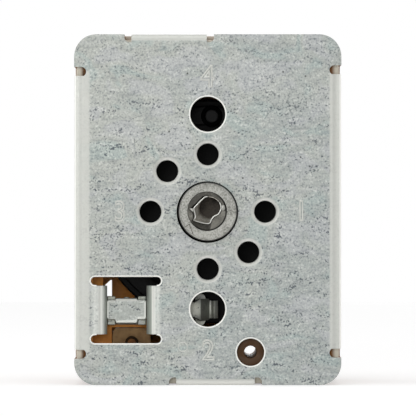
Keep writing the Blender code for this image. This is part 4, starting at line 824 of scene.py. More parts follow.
# A darker copy of the grip's steel for the ears on the shelf: painted shade.
GRIP_EAR_SHADED = GripSteel(rim=srgb(160, 160, 153), wall=srgb(140, 139, 132))
BLACK = BlackMoulding()
# A near-black copy of the moulding for the ring in the hub's gap: painted shade.
BLACK_GAP_SHADE = BlackMoulding(colour=srgb(4, 4, 4), shade=srgb(2, 2, 2), gloss=0.01)
# Copies of the moulding for the cam's recess: near-black on its rim as painted shade, lighter on its floor as
# painted light.
BLACK_RIM_SHADE = BlackMoulding(colour=srgb(5, 5, 5), shade=srgb(2, 2, 2), gloss=0.01)
BLACK_FLOOR_LIT = BlackMoulding(colour=srgb(42, 42, 42), shade=srgb(32, 32, 32))
BRASS = BareMetal(srgb(206, 176, 112), srgb(158, 122, 66))
BRONZE = BareMetal(srgb(196, 150, 96), srgb(142, 98, 56))
SILVER = BareMetal(srgb(220, 218, 210), srgb(168, 162, 148))
BRIGHT_STEEL = BareMetal(srgb(214, 214, 208), srgb(160, 160, 154), roughness=0.26)
STRIP_STEEL = BareMetal(srgb(122, 88, 54), srgb(90, 62, 36), metallic=0.3, roughness=0.5, gloss=0.15)
OLD_COPPER = BareMetal(srgb(126, 82, 42), srgb(90, 58, 30), metallic=0.1, roughness=0.55, gloss=0.1)
OLD_COLLAR = BareMetal(srgb(50, 36, 22), srgb(34, 24, 15), metallic=0.0, roughness=0.7, gloss=0.05)
BORE_DULL = BareMetal(srgb(84, 78, 71), srgb(44, 40, 36), metallic=0.0, roughness=0.6, gloss=0.15)
HEATER_WIRE = BareMetal(srgb(134, 128, 120), srgb(84, 78, 84), roughness=0.4)
SCRIBED = BareMetal(srgb(96, 92, 86), srgb(70, 66, 60), metallic=0.4, roughness=0.6)


# Modelling


BREAK_ANGLE = 42.0
BREAK_STEPS = 3
SOFT_STEPS = 2
FOLD_STEPS = 9
ROUND_STEPS = 6
ARC_STEPS = 12
CORNER_STEPS = 14
MERGE = 1e-7
CLOSE = 1e-6
FLAT = 0.99


def place_piece(name: str, bm: BMesh, finish: Finish, body: str, nodes: tuple[str, ...] = ()) -> Object:
    """Turn a working mesh into a dressed piece that rides on a body.

    Args:
        name: The piece's name.
        bm: The working mesh, which is freed.
        finish: Its finish.
        body: The body it moves with.
        nodes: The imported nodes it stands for.

    Returns:
        The piece.
    """
    mesh = bpy.data.meshes.new(name)
    bm.to_mesh(mesh)
    bm.free()
    mesh.shade_smooth()
    mesh.set_sharp_from_angle(angle=math.radians(CRISP_ANGLE))
    piece = bpy.data.objects.new(name, mesh)
    bpy.context.scene.collection.objects.link(piece)
    mesh.materials.append(finish.material(name))
    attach(piece, body)
    if nodes:
        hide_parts(*nodes)
    LOG.info("%s: %d faces", name, len(mesh.polygons))
    return piece


def add_sheet_modifiers(piece: Object, thickness: float, edge: float) -> None:
    """Give a single-faced sheet its thickness, behind its faces, and softly broken edges.

    Args:
        piece: The sheet.
        thickness: Its thickness.
        edge: Width of the broken edges.
    """
    solid = piece.modifiers.new("sheet", "SOLIDIFY")
    solid.thickness = thickness
    solid.offset = -1.0
    solid.use_even_offset = True
    add_edge_modifiers(piece, edge)


def add_edge_modifiers(piece: Object, edge: float) -> None:
    """Break the sharp edges of a piece and keep its flat faces flat in the light.

    Args:
        piece: The piece.
        edge: Width of the broken edges.
    """
    bevel = piece.modifiers.new("edges", "BEVEL")
    bevel.width = edge
    bevel.segments = BREAK_STEPS
    bevel.limit_method = "ANGLE"
    bevel.angle_limit = math.radians(BREAK_ANGLE)
    normals = piece.modifiers.new("flats", "WEIGHTED_NORMAL")
    normals.keep_sharp = False


def break_edges(bm: BMesh, edges: Edges, width: float, segments: int) -> None:
    """Round some edges of a mesh.

    Args:
        bm: The working mesh.
        edges: The edges.
        width: Width of the rounding.
        segments: Number of its facets.
    """
    bmesh.ops.bevel(bm, geom=edges, offset=width, offset_type="OFFSET", segments=segments, profile=0.5,
                    affect="EDGES", clamp_overlap=True, material=-1)


@dataclass(frozen=True)
class Rounding:
    """A wide rounding on the outermost edges that lie at one depth."""

    depth: float
    radius: float
    reach: float = 0.0003

    def edges(self, bm: BMesh) -> Edges:
        """Find the edges at the depth that lie on the mesh's outer sides.

        Args:
            bm: The working mesh.

        Returns:
            The edges to round.
        """
        level = DATUM.front + self.depth
        ways = ((0, 1), (0, -1), (2, 1), (2, -1))
        sides = [max(vert.co[axis] * sign for vert in bm.verts) for axis, sign in ways]
        found = []
        for edge in bm.edges:
            if any(abs(vert.co.y - level) > self.reach for vert in edge.verts):
                continue
            for (axis, sign), side in zip(ways, sides):
                if all(abs(vert.co[axis] * sign - side) < self.reach for vert in edge.verts):
                    found.append(edge)
        return found


@dataclass
class NodeDresser:
    """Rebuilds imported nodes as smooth, edge-broken pieces of the same shape."""

    edge: float = 0.00008
    weld: float = 2e-6
    flat_angle: float = 1.0

    def copied(self, node: str) -> BMesh:
        """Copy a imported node's mesh with its corners merged and its flat faces whole.

        Args:
            node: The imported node.

        Returns:
            The copy, as a working mesh.
        """
        bm = bmesh.new()
        bm.from_mesh(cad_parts[node].data)
        bmesh.ops.remove_doubles(bm, verts=bm.verts[:], dist=self.weld)
        bmesh.ops.dissolve_limit(bm, angle_limit=math.radians(self.flat_angle), verts=bm.verts[:],
                                 edges=bm.edges[:])
        return bm

    def soften(self, bm: BMesh, width: float, sharp: float = CRISP_ANGLE) -> None:
        """Break the edges that turn more than a number of degrees.

        Args:
            bm: The working mesh.
            width: Width of the broken edges.
            sharp: The angle in degrees.
        """
        limit = math.radians(sharp)
        hard = [item for item in bm.edges if item.is_manifold and item.calc_face_angle() > limit]
        if hard:
            break_edges(bm, hard, width, SOFT_STEPS)

    def dress(self, node: str, finish: Finish, body: str, edge: float | None = None,
              sharp: float = CRISP_ANGLE, rounding: Rounding | None = None) -> None:
        """Dress one node.

        Args:
            node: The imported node.
            finish: Its finish.
            body: The body it moves with.
            edge: Width of the broken edges, or None for the usual one.
            sharp: Edges that turn more than this many degrees are broken.
            rounding: A wider rounding that some of its edges get first, or None.
        """
        bm = self.copied(node)
        if rounding:
            break_edges(bm, rounding.edges(bm), rounding.radius, ROUND_STEPS)
        self.soften(bm, edge or self.edge, sharp)
        place_piece(f"{node}_dressed", bm, finish, body, (node,))


class Pen:
    """Draws a wire outline parallel to the front plate with straight runs and spun arcs."""

    def __init__(self, bm: BMesh, depth: float, start: Point) -> None:
        """Put the pen down.

        Args:
            bm: The working mesh.
            depth: Depth behind the plate's front face.
            start: First point, as (x, z) from the shaft.
        """
        self.bm = bm
        self.depth = depth
        self.first = bm.verts.new(DATUM.at(start[0], depth, start[1]))
        self.last = self.first
        self.edges: Edges = []

    def line(self, x: float, z: float) -> BMEdge:
        """Draw a straight run.

        Args:
            x: Place of its end across, from the shaft.
            z: Height of its end, from the shaft.

        Returns:
            Its edge.
        """
        vert = self.bm.verts.new(DATUM.at(x, self.depth, z))
        edge = self.bm.edges.new((self.last, vert))
        self.edges.append(edge)
        self.last = vert
        return edge

    def arc(self, x: float, z: float, degrees: float, steps: int = ARC_STEPS) -> None:
        """Draw an arc.

        Args:
            x: Place of its centre across, from the shaft.
            z: Height of its centre, from the shaft.
            degrees: Its angle; positive ones turn anticlockwise as seen from the front.
            steps: Number of its edges.
        """
        here = self.last
        spun = bmesh.ops.spin(self.bm, geom=[here], cent=DATUM.at(x, self.depth, z), axis=(0, -1, 0),
                              angle=math.radians(degrees), steps=steps)
        self.last = next(item for item in spun["geom_last"] if isinstance(item, BMVert))
        known = set(self.edges)
        while here is not self.last:
            edge = next(item for item in here.link_edges if item not in known)
            known.add(edge)
            self.edges.append(edge)
            here = edge.other_vert(here)

    def close(self) -> Edges:
        """Join the last point to the first and return all edges of the outline."""
        self.edges.append(self.bm.edges.new((self.last, self.first)))
        return self.edges


def ring(bm: BMesh, x: float, z: float, depth: float, radius: float,
         count: int) -> Edges:
    """Add a round wire parallel to the front plate.

    Args:
        bm: The working mesh.
        x: Place across, from the shaft.
        z: Height, from the shaft.
        depth: Depth behind the plate's front face.
        radius: Its radius.
        count: Number of its edges.

    Returns:
        Its edges.
    """
    matrix = Matrix.Translation(DATUM.at(x, depth, z)) @ Matrix.Rotation(math.pi / 2, 4, "X")
    made = bmesh.ops.create_circle(bm, cap_ends=False, segments=count, radius=radius, matrix=matrix)
    return list({edge for vert in made["verts"] for edge in vert.link_edges})


def block(bm: BMesh, low: Vector, high: Vector) -> None:
    """Add a block.

    Args:
        bm: The working mesh.
        low: Its lowest corner, as (x, depth, z) from the shaft.
        high: Its highest corner, likewise.
    """
    matrix = Matrix.Translation(DATUM.at(*((low + high) / 2))) @ Matrix.Diagonal((*(high - low), 1))
    bmesh.ops.create_cube(bm, size=1, matrix=matrix)


def points_in_order(edges: Edges) -> list[Vector]:
    """Follow a chain or a ring of edges.

    Args:
        edges: The edges, in any order.

    Returns:
        The places of its vertices, in order.
    """
    left = set(edges)
    ends = [vert for edge in edges for vert in edge.verts]
    here = next((vert for vert in ends if ends.count(vert) == 1), ends[0])
    chain = [here]
    while left:
        edge = next((item for item in here.link_edges if item in left), None)
        if edge is None:
            break
        left.discard(edge)
        here = edge.other_vert(here)
        chain.append(here)
    if chain[0] is chain[-1]:
        chain.pop()
    return [vert.co.copy() for vert in chain]


def extruded(bm: BMesh, edges: Edges) -> tuple[list[BMVert], Edges, list[BMFace]]:
    """Extrude edges in place.

    Args:
        bm: The working mesh.
        edges: The edges.

    Returns:
        The new vertices, the new edges between them, and the new faces.
    """
    grown = bmesh.ops.extrude_edge_only(bm, edges=edges)["geom"]
    verts = [item for item in grown if isinstance(item, BMVert)]
    faces = [item for item in grown if isinstance(item, BMFace)]
    ends = [item for item in grown if isinstance(item, BMEdge)
            and all(vert in verts for vert in item.verts)]
    return verts, ends, faces


def draw_in(bm: BMesh, edges: Edges, centre: Vector, factor: float,
            sink: float) -> Edges:
    """Extrude an open ring of edges, then scale it about its centre and move it backwards.

    Args:
        bm: The working mesh.
        edges: The ring.
        centre: The ring's centre.
        factor: Scale of the new ring across the depth.
        sink: Movement of the new ring along the depth.

    Returns:
        The new ring's edges.
    """
    verts, ends, _ = extruded(bm, edges)
    bmesh.ops.scale(bm, vec=(factor, 1, factor), verts=verts, space=Matrix.Translation(-centre))
    bmesh.ops.translate(bm, vec=(0, sink, 0), verts=verts)
    return ends


def fold_back(bm: BMesh, edges: Edges, inward: Vector, bend: float,
              stops: list[float], opening: tuple[int, int] | None = None) -> None:
    """Bend straight edges of a flat sheet a quarter turn backwards and lengthen them.

    Args:
        bm: The working mesh.
        edges: The collinear edges, in order.
        inward: Direction from the edges into the sheet.
        bend: Outer radius of the bend.
        stops: Depths, from the sheet's face, where the straight part is divided; the last is its end.
        opening: The stage and the edge whose face is left out, or None.
    """
    along = (edges[0].verts[1].co - edges[0].verts[0].co).normalized()
    centre = edges[0].verts[0].co + Vector((0, bend, 0))
    turn = math.pi / 2 if along.cross(Vector((0, -1, 0))).dot(inward) < 0 else -math.pi / 2
    middles = [(edge.verts[0].co + edge.verts[1].co).dot(along) / 2 for edge in edges]
    verts = list({vert for edge in edges for vert in edge.verts})
    bent = bmesh.ops.spin(bm, geom=edges + verts, cent=centre, axis=along, angle=turn, steps=FOLD_STEPS)
    last = [item for item in bent["geom_last"] if isinstance(item, BMEdge)]
    depth = bend
    gone = []
    for stage, stop in enumerate(stops):
        moved, last, faces = extruded(bm, last)
        bmesh.ops.translate(bm, verts=moved, vec=(0, stop - depth, 0))
        depth = stop
        if opening and opening[0] == stage:
            middle = middles[opening[1]]
            gone.append(min(faces, key=lambda face: abs(face.calc_center_median().dot(along) - middle)))
    if gone:
        bmesh.ops.delete(bm, geom=gone, context="FACES_ONLY")


def fill_flat(bm: BMesh, loops: list[Edges]) -> None:
    """Fill an outline and leave its inner loops open.

    Args:
        bm: The working mesh.
        loops: The outline and the loops of its holes.
    """
    edges = [edge for loop in loops for edge in loop]
    bmesh.ops.triangle_fill(bm, edges=edges, use_beauty=True, use_dissolve=False)


def face_forward(bm: BMesh) -> None:
    """Make the faces of an open sheet agree, with its flat face looking to the front.

    Args:
        bm: The working mesh.
    """
    bmesh.ops.recalc_face_normals(bm, faces=bm.faces[:])
    total = sum(face.normal.y * face.calc_area() for face in bm.faces if abs(face.normal.y) > FLAT)
    if total > 0:
        bmesh.ops.reverse_faces(bm, faces=bm.faces[:])


def turned(bm: BMesh, profile: Profile, foot: Vector, count: int) -> None:
    """Add a body turned about an axis along the depth.

    Args:
        bm: The working mesh.
        profile: Its (radius, depth) points, from the axis outwards, or a closed ring of points.
        foot: The axis's point at depth 0.
        count: Number of facets round it.
    """
    verts = [bm.verts.new(foot + Vector((0, depth, radius))) for radius, depth in profile]
    pairs = list(zip(verts, verts[1:]))
    if profile[0][0] > 0:
        pairs.append((verts[-1], verts[0]))
    edges = [bm.edges.new(pair) for pair in pairs]
    bmesh.ops.spin(bm, geom=verts + edges, cent=foot, axis=(0, 1, 0), angle=math.tau, steps=count,
                   use_merge=True)
    bmesh.ops.remove_doubles(bm, verts=bm.verts[:], dist=MERGE)
    bmesh.ops.recalc_face_normals(bm, faces=bm.faces[:])


def place_turned(name: str, profile: Profile, foot: Vector, finish: Finish, body: str,
                 count: int = 40) -> None:
    """Make a piece of one turned body.

    Args:
        name: The piece's name.
        profile: Its (radius, depth) points.
        foot: The axis's point at depth 0.
        finish: Its finish.
        body: The body it moves with.
        count: Number of facets round it.
    """
    bm = bmesh.new()
    turned(bm, profile, foot, count)
    place_piece(name, bm, finish, body)


def curve_mesh(curve: bpy.types.Curve) -> bpy.types.Mesh:
    """Turn a curve into a mesh.

    Args:
        curve: A curve or a text.

    Returns:
        The mesh.
    """
    drawn = bpy.data.objects.new(curve.name, curve)
    bpy.context.scene.collection.objects.link(drawn)
    bpy.context.view_layer.update()
    mesh = bpy.data.meshes.new_from_object(drawn.evaluated_get(bpy.context.evaluated_depsgraph_get()))
    bpy.data.objects.remove(drawn)
    return mesh


def number_mesh(text: str, size: float, place: Matrix, outline: float = 0.0,
                height: float = 0.0) -> bpy.types.Mesh:
    """Make the mesh of a number.

    Args:
        text: The number.
        size: Its size.
        place: Where it goes; drawn in its X and Y.
        outline: Radius of a raised outline, or 0 for a filled number.
        height: Height of a filled number.

    Returns:
        The mesh, in place.
    """
    curve = bpy.data.curves.new(f"mark_{text}", "FONT")
    curve.body = text
    curve.size = size
    curve.align_x = "CENTER"
    curve.align_y = "CENTER"
    curve.resolution_u = 6
    if outline:
        curve.fill_mode = "NONE"
        curve.bevel_depth = outline
        curve.bevel_resolution = 2
    else:
        curve.extrude = height
        curve.bevel_depth = height / 3
        curve.bevel_resolution = 1
    mesh = curve_mesh(curve)
    mesh.transform(place)
    return mesh


# Sub-assemblies


@dataclass
class RolledHole:
    """A screw hole whose edge is rolled inwards into a collar."""

    x: float
    z: float
    radius: float = 0.0019
    roll: float = 0.0008
    sink: float = 0.00042
    reach: float = 0.0021
    steps: int = 8
    count: int = 48

    def add(self, bm: BMesh) -> Edges:
        """Add the rolled wall.

        Args:
            bm: The working mesh.

        Returns:
            The ring where the wall leaves the flat face.
        """
        start = ring(bm, self.x, self.z, 0, self.radius + self.roll, self.count)
        centre = DATUM.at(self.x, 0, self.z)
        edges = start
        before = self.radius + self.roll
        step_angle = math.pi / 2 / self.steps
        for step in range(1, self.steps + 1):
            turn = math.pi / 2 * step / self.steps
            radius = self.radius + self.roll * (1 - math.sin(turn))
            sink = self.sink * (math.cos(turn - step_angle) - math.cos(turn))
            edges = draw_in(bm, edges, centre, radius / before, sink)
            before = radius
        draw_in(bm, edges, centre, 1.0, self.reach - self.sink)
        return start


@dataclass
class FrontPlate:
    """Front plate with rolled screw holes, folded skirts, a window with flaps and position numbers."""

    width: float = 0.0466
    height: float = 0.0612
    corner: float = 0.0039
    shaft_height: float = 0.03026
    sheet: float = 0.001
    reach: float = 0.008
    side_bend: float = 0.0017
    end_bend: float = 0.0013
    notch: float = 0.00085
    side_notch: float = 0.0021
    end_notch: float = 0.0014
    left_notches: Span = (-0.0248, 0.0244)
    right_notches: Span = (-0.0246, 0.0247)
    top_notches: Span = (-0.0137, 0.00024)
    bottom_notches: Span = (-0.0059, 0.0086)
    notch_steps: int = 8
    catch_width: float = 0.0054
    catch_depth: float = 0.0046
    catch_height: float = 0.0022
    side_catch: float = 0.004
    peep_radius: float = 0.0032
    peep_offset: float = 0.017
    hub_hole: float = 0.00536
    hub_offset: float = -0.00007
    # Profile of the black ring that stands for the shade in the gap round the hub.
    gap_shade_profile: Profile = (
        (0.00509, 0.0002), (0.00526, 0.00008), (0.0054, 0.00008), (0.0054, 0.0008), (0.00509, 0.0008))
    boss_hole: float = 0.00253
    boss_place: Point = (0.00745, -0.0245)
    round_count: int = 64
    gap_shade_count: int = 72
    screw_circle: float = 0.01
    screw_angles: tuple[float, ...] = (0, 90, 135, 180, 270, 315)
    window: Limits = (-0.02052, -0.008, -0.02308, -0.01122)
    flap_lines: Span = (-0.01938, -0.0089)
    slot: float = 0.0017
    rim: float = 0.00012
    bead: float = 0.00016
    bead_sink: float = 0.8
    flap_bend: float = 0.0018
    flap_reach: float = 0.0022
    marks: tuple[tuple[str, float, float, float, float], ...] = (
        ("4", 0.0, 0.0234, 1.1, 1.2), ("1", 0.0163, 0.0, 1.0, 1.12), ("2", 0.0001, -0.0243, 1.0, 1.13),
        ("3", -0.0153, -0.0001, 0.95, 1.14))
    mark_size: float = 0.0044
    mark_edge: float = 0.00015
    mark_depth: float = 0.00002
    gauge_place: Point = (-0.00434, -0.02355)
    gauge_profile: Profile = (
        (0.00068, 0.0001), (0.00072, -0.00004), (0.0008, -0.00007), (0.00088, -0.00004), (0.00092, 0.0001))
    folds: dict[Side, Edges] = field(default_factory=dict)

    def _bend(self, side: Side) -> float:
        """Return the bend radius of a side's fold."""
        return self.side_bend if side in (Side.LEFT, Side.RIGHT) else self.end_bend

    def _notched_run(self, pen: Pen, side: Side, reach: float, notches: Span,
                     catch: float) -> Edges:
        """Draw one side with its two relief notches and the folded edge between them.

        Args:
            pen: The pen, at the end of the corner before.
            side: The side.
            reach: Distance of the side from the shaft.
            notches: Places of the notches along the side.
            catch: Middle of the catch window along the side.

        Returns:
            The three edges of the fold.
        """
        inward = side.value
        along = Vector((inward.z, 0, -inward.x))
        origin = inward * -reach
        bend = self._bend(side)
        depth = self.side_notch if side in (Side.LEFT, Side.RIGHT) else self.end_notch
        inset = depth - self.notch
        swing = 90 + math.degrees(math.acos((bend - inset) / self.notch))

        def point(place: float, inside: float) -> Point:
            """Return (x, z) for a place along the side and a distance inside it."""
            found = origin + along * place + inward * inside
            return found.x, found.z

        first, second = notches
        pen.line(*point(first - self.notch, 0))
        pen.line(*point(first - self.notch, inset))
        pen.arc(*point(first, inset), -swing, self.notch_steps)
        across = math.sqrt(self.notch**2 - (bend - inset) ** 2)
        half = self.catch_width / 2
        fold = [pen.line(*point(place, bend)) for place in (catch - half, catch + half, second - across)]
        pen.arc(*point(second, inset), -swing, self.notch_steps)
        pen.line(*point(second + self.notch, 0))
        return fold

    def _outline(self, bm: BMesh) -> Edges:
        """Draw the plate's outline and remember its folded edges.

        Args:
            bm: The working mesh.

        Returns:
            The outline's edges.
        """
        side = self.width / 2
        low = -self.shaft_height
        high = self.height - self.shaft_height
        inner, lower, upper = side - self.corner, low + self.corner, high - self.corner
        top = (-self.top_notches[1], -self.top_notches[0])
        left = (-self.left_notches[1], -self.left_notches[0])
        pen = Pen(bm, 0, (-inner, low))
        for place, reach, notches, catch, end, centre in (
                (Side.BOTTOM, -low, self.bottom_notches, sum(self.bottom_notches) / 2, (inner, low),
                 (inner, lower)),
                (Side.RIGHT, side, self.right_notches, self.side_catch, (side, upper), (inner, upper)),
                (Side.TOP, high, top, sum(top) / 2, (-inner, high), (-inner, upper)),
                (Side.LEFT, side, left, -self.side_catch, (-side, lower), (-inner, lower))):
            self.folds[place] = self._notched_run(pen, place, reach, notches, catch)
            pen.line(*end)
            pen.arc(*centre, 90, CORNER_STEPS)
        bmesh.ops.remove_doubles(bm, verts=[pen.last, pen.first], dist=CLOSE)
        return list(bm.edges)

    def _window(self, bm: BMesh) -> tuple[list, BMEdge, BMEdge]:
        """Draw the window.

        Args:
            bm: The working mesh.

        Returns:
            Its edges, and the left and the right edge that the flaps hang on.
        """
        left, right, low, high = self.window
        half = self.slot / 2
        left, right = left + half, right - half
        upper, lower = high - half, low + half
        left_line, right_line = self.flap_lines
        pen = Pen(bm, 0, (left_line, upper - half))
        pen.line(left, upper - half)
        pen.arc(left, upper, -180)
        pen.line(right, high)
        pen.arc(right, upper, -180)
        pen.line(right_line, upper - half)
        right_flap = pen.line(right_line, lower + half)
        pen.line(right, lower + half)
        pen.arc(right, lower, -180)
        pen.line(left, low)
        pen.arc(left, lower, -180)
        pen.line(left_line, lower + half)
        edges = pen.close()
        return edges, edges[-1], right_flap

    def _slot_outlines(self, window: Edges,
                       flaps: Edges) -> list[list[Vector]]:
        """Find the parts of the window's edge that no flap hangs on.

        Args:
            window: The window's edges.
            flaps: The edges that carry the flaps.

        Returns:
            One open run of points per slot edge.
        """
        middle = (self.window[2] + self.window[3]) / 2 + DATUM.shaft
        runs = []
        for above in (True, False):
            side = [edge for edge in window if edge not in flaps
                    and ((edge.verts[0].co.z + edge.verts[1].co.z) / 2 > middle) is above]
            runs.append(points_in_order(side))
        return runs

    def _rims(self, outlines: list[list[Vector]]) -> None:
        """Round the punched edges of the plain openings with a bead that is painted bright as a highlight.

        Args:
            outlines: Points round each opening.
        """
        drawn = bpy.data.curves.new("opening_rims", "CURVE")
        drawn.dimensions = "3D"
        drawn.bevel_depth = self.bead
        drawn.bevel_resolution = 3
        drawn.use_fill_caps = True
        sunk = Vector((0, self.bead * self.bead_sink, 0))
        for points in outlines:
            line = drawn.splines.new("POLY")
            line.points.add(len(points) - 1)
            for place, point in zip(line.points, points):
                place.co = (*(point + sunk), 1.0)
            line.use_cyclic_u = (points[0] - points[-1]).length < 3 * (points[0] - points[1]).length
        bm = bmesh.new()
        bm.from_mesh(curve_mesh(drawn))
        bmesh.ops.recalc_face_normals(bm, faces=bm.faces[:])
        # The beads are painted in the light copy of the zinc, as a highlight on the punched edges.
        place_piece("opening_rims", bm, ZINC_RIM_HIGHLIGHT, "case")

    def _position_marks(self) -> None:
        """Emboss the plain position numbers around the shaft."""
        bm = bmesh.new()
        for text, x, z, broad, tall in self.marks:
            place = Matrix.Translation(DATUM.at(x, self.mark_depth, z)) \
                @ Matrix.Rotation(math.pi / 2, 4, "X") @ Matrix.Diagonal((broad, tall, 1, 1))
            bm.from_mesh(number_mesh(text, self.mark_size, place, outline=self.mark_edge))
        # The raised outlines are painted lighter than the plate, as a highlight.
        place_piece("position_numbers", bm, ZINC_MARK_HIGHLIGHT, "case")

    def build(self) -> None:
        """Build the plate, its embossed marks and the black ring in the gap round the hub, which stands for
        the shade in that gap.
        """
        bm = bmesh.new()
        loops = [self._outline(bm)]
        window, *flaps = self._window(bm)
        loops.append(window)
        outlines = self._slot_outlines(window, flaps)
        for angle in self.screw_angles:
            turn = math.radians(angle)
            hole = RolledHole(self.screw_circle * math.cos(turn), self.screw_circle * math.sin(turn))
            loops.append(hole.add(bm))
        for x, z, radius in ((0, self.peep_offset, self.peep_radius),
                             (0, -self.peep_offset, self.peep_radius),
                             (*self.boss_place, self.boss_hole)):
            loops.append(ring(bm, x, z, 0, radius, self.round_count))
            outlines.append(points_in_order(loops[-1]))
        loops.append(ring(bm, self.hub_offset, self.hub_offset, 0, self.hub_hole, self.round_count))
        fill_flat(bm, loops)
        stops = [self.catch_depth, self.catch_depth + self.catch_height, self.reach]
        for side, edges in self.folds.items():
            fold_back(bm, edges, side.value, self._bend(side), stops, (1, 1))
        for flap, side in zip(flaps, (Side.RIGHT, Side.LEFT)):
            fold_back(bm, [flap], side.value, self.flap_bend, [self.flap_reach])
        face_forward(bm)
        plate = place_piece("plate_dressed", bm, ZINC, "case", ("front_plate",))
        add_sheet_modifiers(plate, self.sheet, self.rim)
        self._rims(outlines)
        self._position_marks()
        # A black ring in the gap round the hub, standing for the shade there.
        foot = DATUM.at(self.hub_offset, 0, self.hub_offset)
        place_turned("hub_gap_shade_ring", self.gap_shade_profile, foot, BLACK_GAP_SHADE, "case",
                     self.gap_shade_count)
        x, z = self.gauge_place
        # The gauge mark is painted lighter than the plate, as a highlight.
        place_turned("gauge_mark", self.gauge_profile, DATUM.at(x, 0, z), ZINC_MARK_HIGHLIGHT, "case")


@dataclass
class PivotBracket:
    """Saddle between the plate's flaps that holds the lever's pin."""

    left: float = -0.01756
    right: float = -0.01082
    top: float = -0.01548
    bottom: float = -0.01872
    front: float = 0.0013
    sheet: float = 0.0006
    tongue: Span = (-0.01594, -0.0125)
    tongue_out: Span = (0.00022, 0.00062)
    corner: float = 0.00022
    border: float = 0.0004
    sink: float = 0.00012
    bend: float = 0.0003
    reach: float = 0.0029
    edge: float = 0.00012
    claw_width: float = 0.0014
    claw_out: Span = (0.0007, 0.00108)
    claw_drop: float = 0.0004
    claw_root: float = 0.0005
    claw_lap: float = 0.0001
    claw_set: float = 0.0002
    claw_edge: float = 0.00014

    def build(self) -> None:
        """Build the bracket with its claws."""
        bm = bmesh.new()
        left, right, cut = self.left, self.right, self.corner
        bottom, top = self.bottom, self.top
        inner, outer = self.tongue
        low, high = bottom - self.tongue_out[1], top + self.tongue_out[0]
        pen = Pen(bm, self.front, (left, bottom + cut))
        for point in ((left + cut, bottom), (inner - cut, bottom), (inner, low)):
            pen.line(*point)
        lower_tongue = pen.line(outer, low)
        for point in ((outer + cut, bottom), (right - cut, bottom), (right, bottom + cut), (right, top - cut),
                      (right - cut, top), (outer + cut, top), (outer, high)):
            pen.line(*point)
        upper_tongue = pen.line(inner, high)
        for point in ((inner - cut, top), (left + cut, top), (left, top - cut)):
            pen.line(*point)
        fill_flat(bm, [pen.close()])
        face_forward(bm)
        bmesh.ops.inset_region(bm, faces=bm.faces[:], thickness=self.border, depth=-self.sink,
                               use_even_offset=True, use_boundary=True)
        fold_back(bm, [lower_tongue], Side.BOTTOM.value, self.bend, [self.reach])
        fold_back(bm, [upper_tongue], Side.TOP.value, self.bend, [self.reach])
        face_forward(bm)
        bracket = place_piece("bracket_dressed", bm, ZINC_SADDLE, "case", ("pivot_bracket",))
        add_sheet_modifiers(bracket, self.sheet, self.edge)
        self._claws()

    def _claws(self) -> None:
        """Build the four claws that hook under the corners."""
        bm = bmesh.new()
        back = self.front + self.sheet
        end = back + self.claw_drop + self.sheet
        for edge, out, reach in ((self.top, 1, self.claw_out[0]), (self.bottom, -1, self.claw_out[1])):
            root = edge - out * self.claw_root
            for start in (self.left, self.right - self.claw_width):
                for first, last, front in (
                        (root, edge + out * reach, back + self.claw_drop),
                        (root - out * self.claw_root, root + out * self.claw_lap, back - self.claw_set)):
                    block(bm, Vector((start, front, min(first, last))),
                          Vector((start + self.claw_width, end, max(first, last))))
        # The claws are painted in the darker copy of the zinc, as shade.
        claws = place_piece("bracket_claws", bm, ZINC_CLAW_SHADED, "case")
        add_edge_modifiers(claws, self.claw_edge)


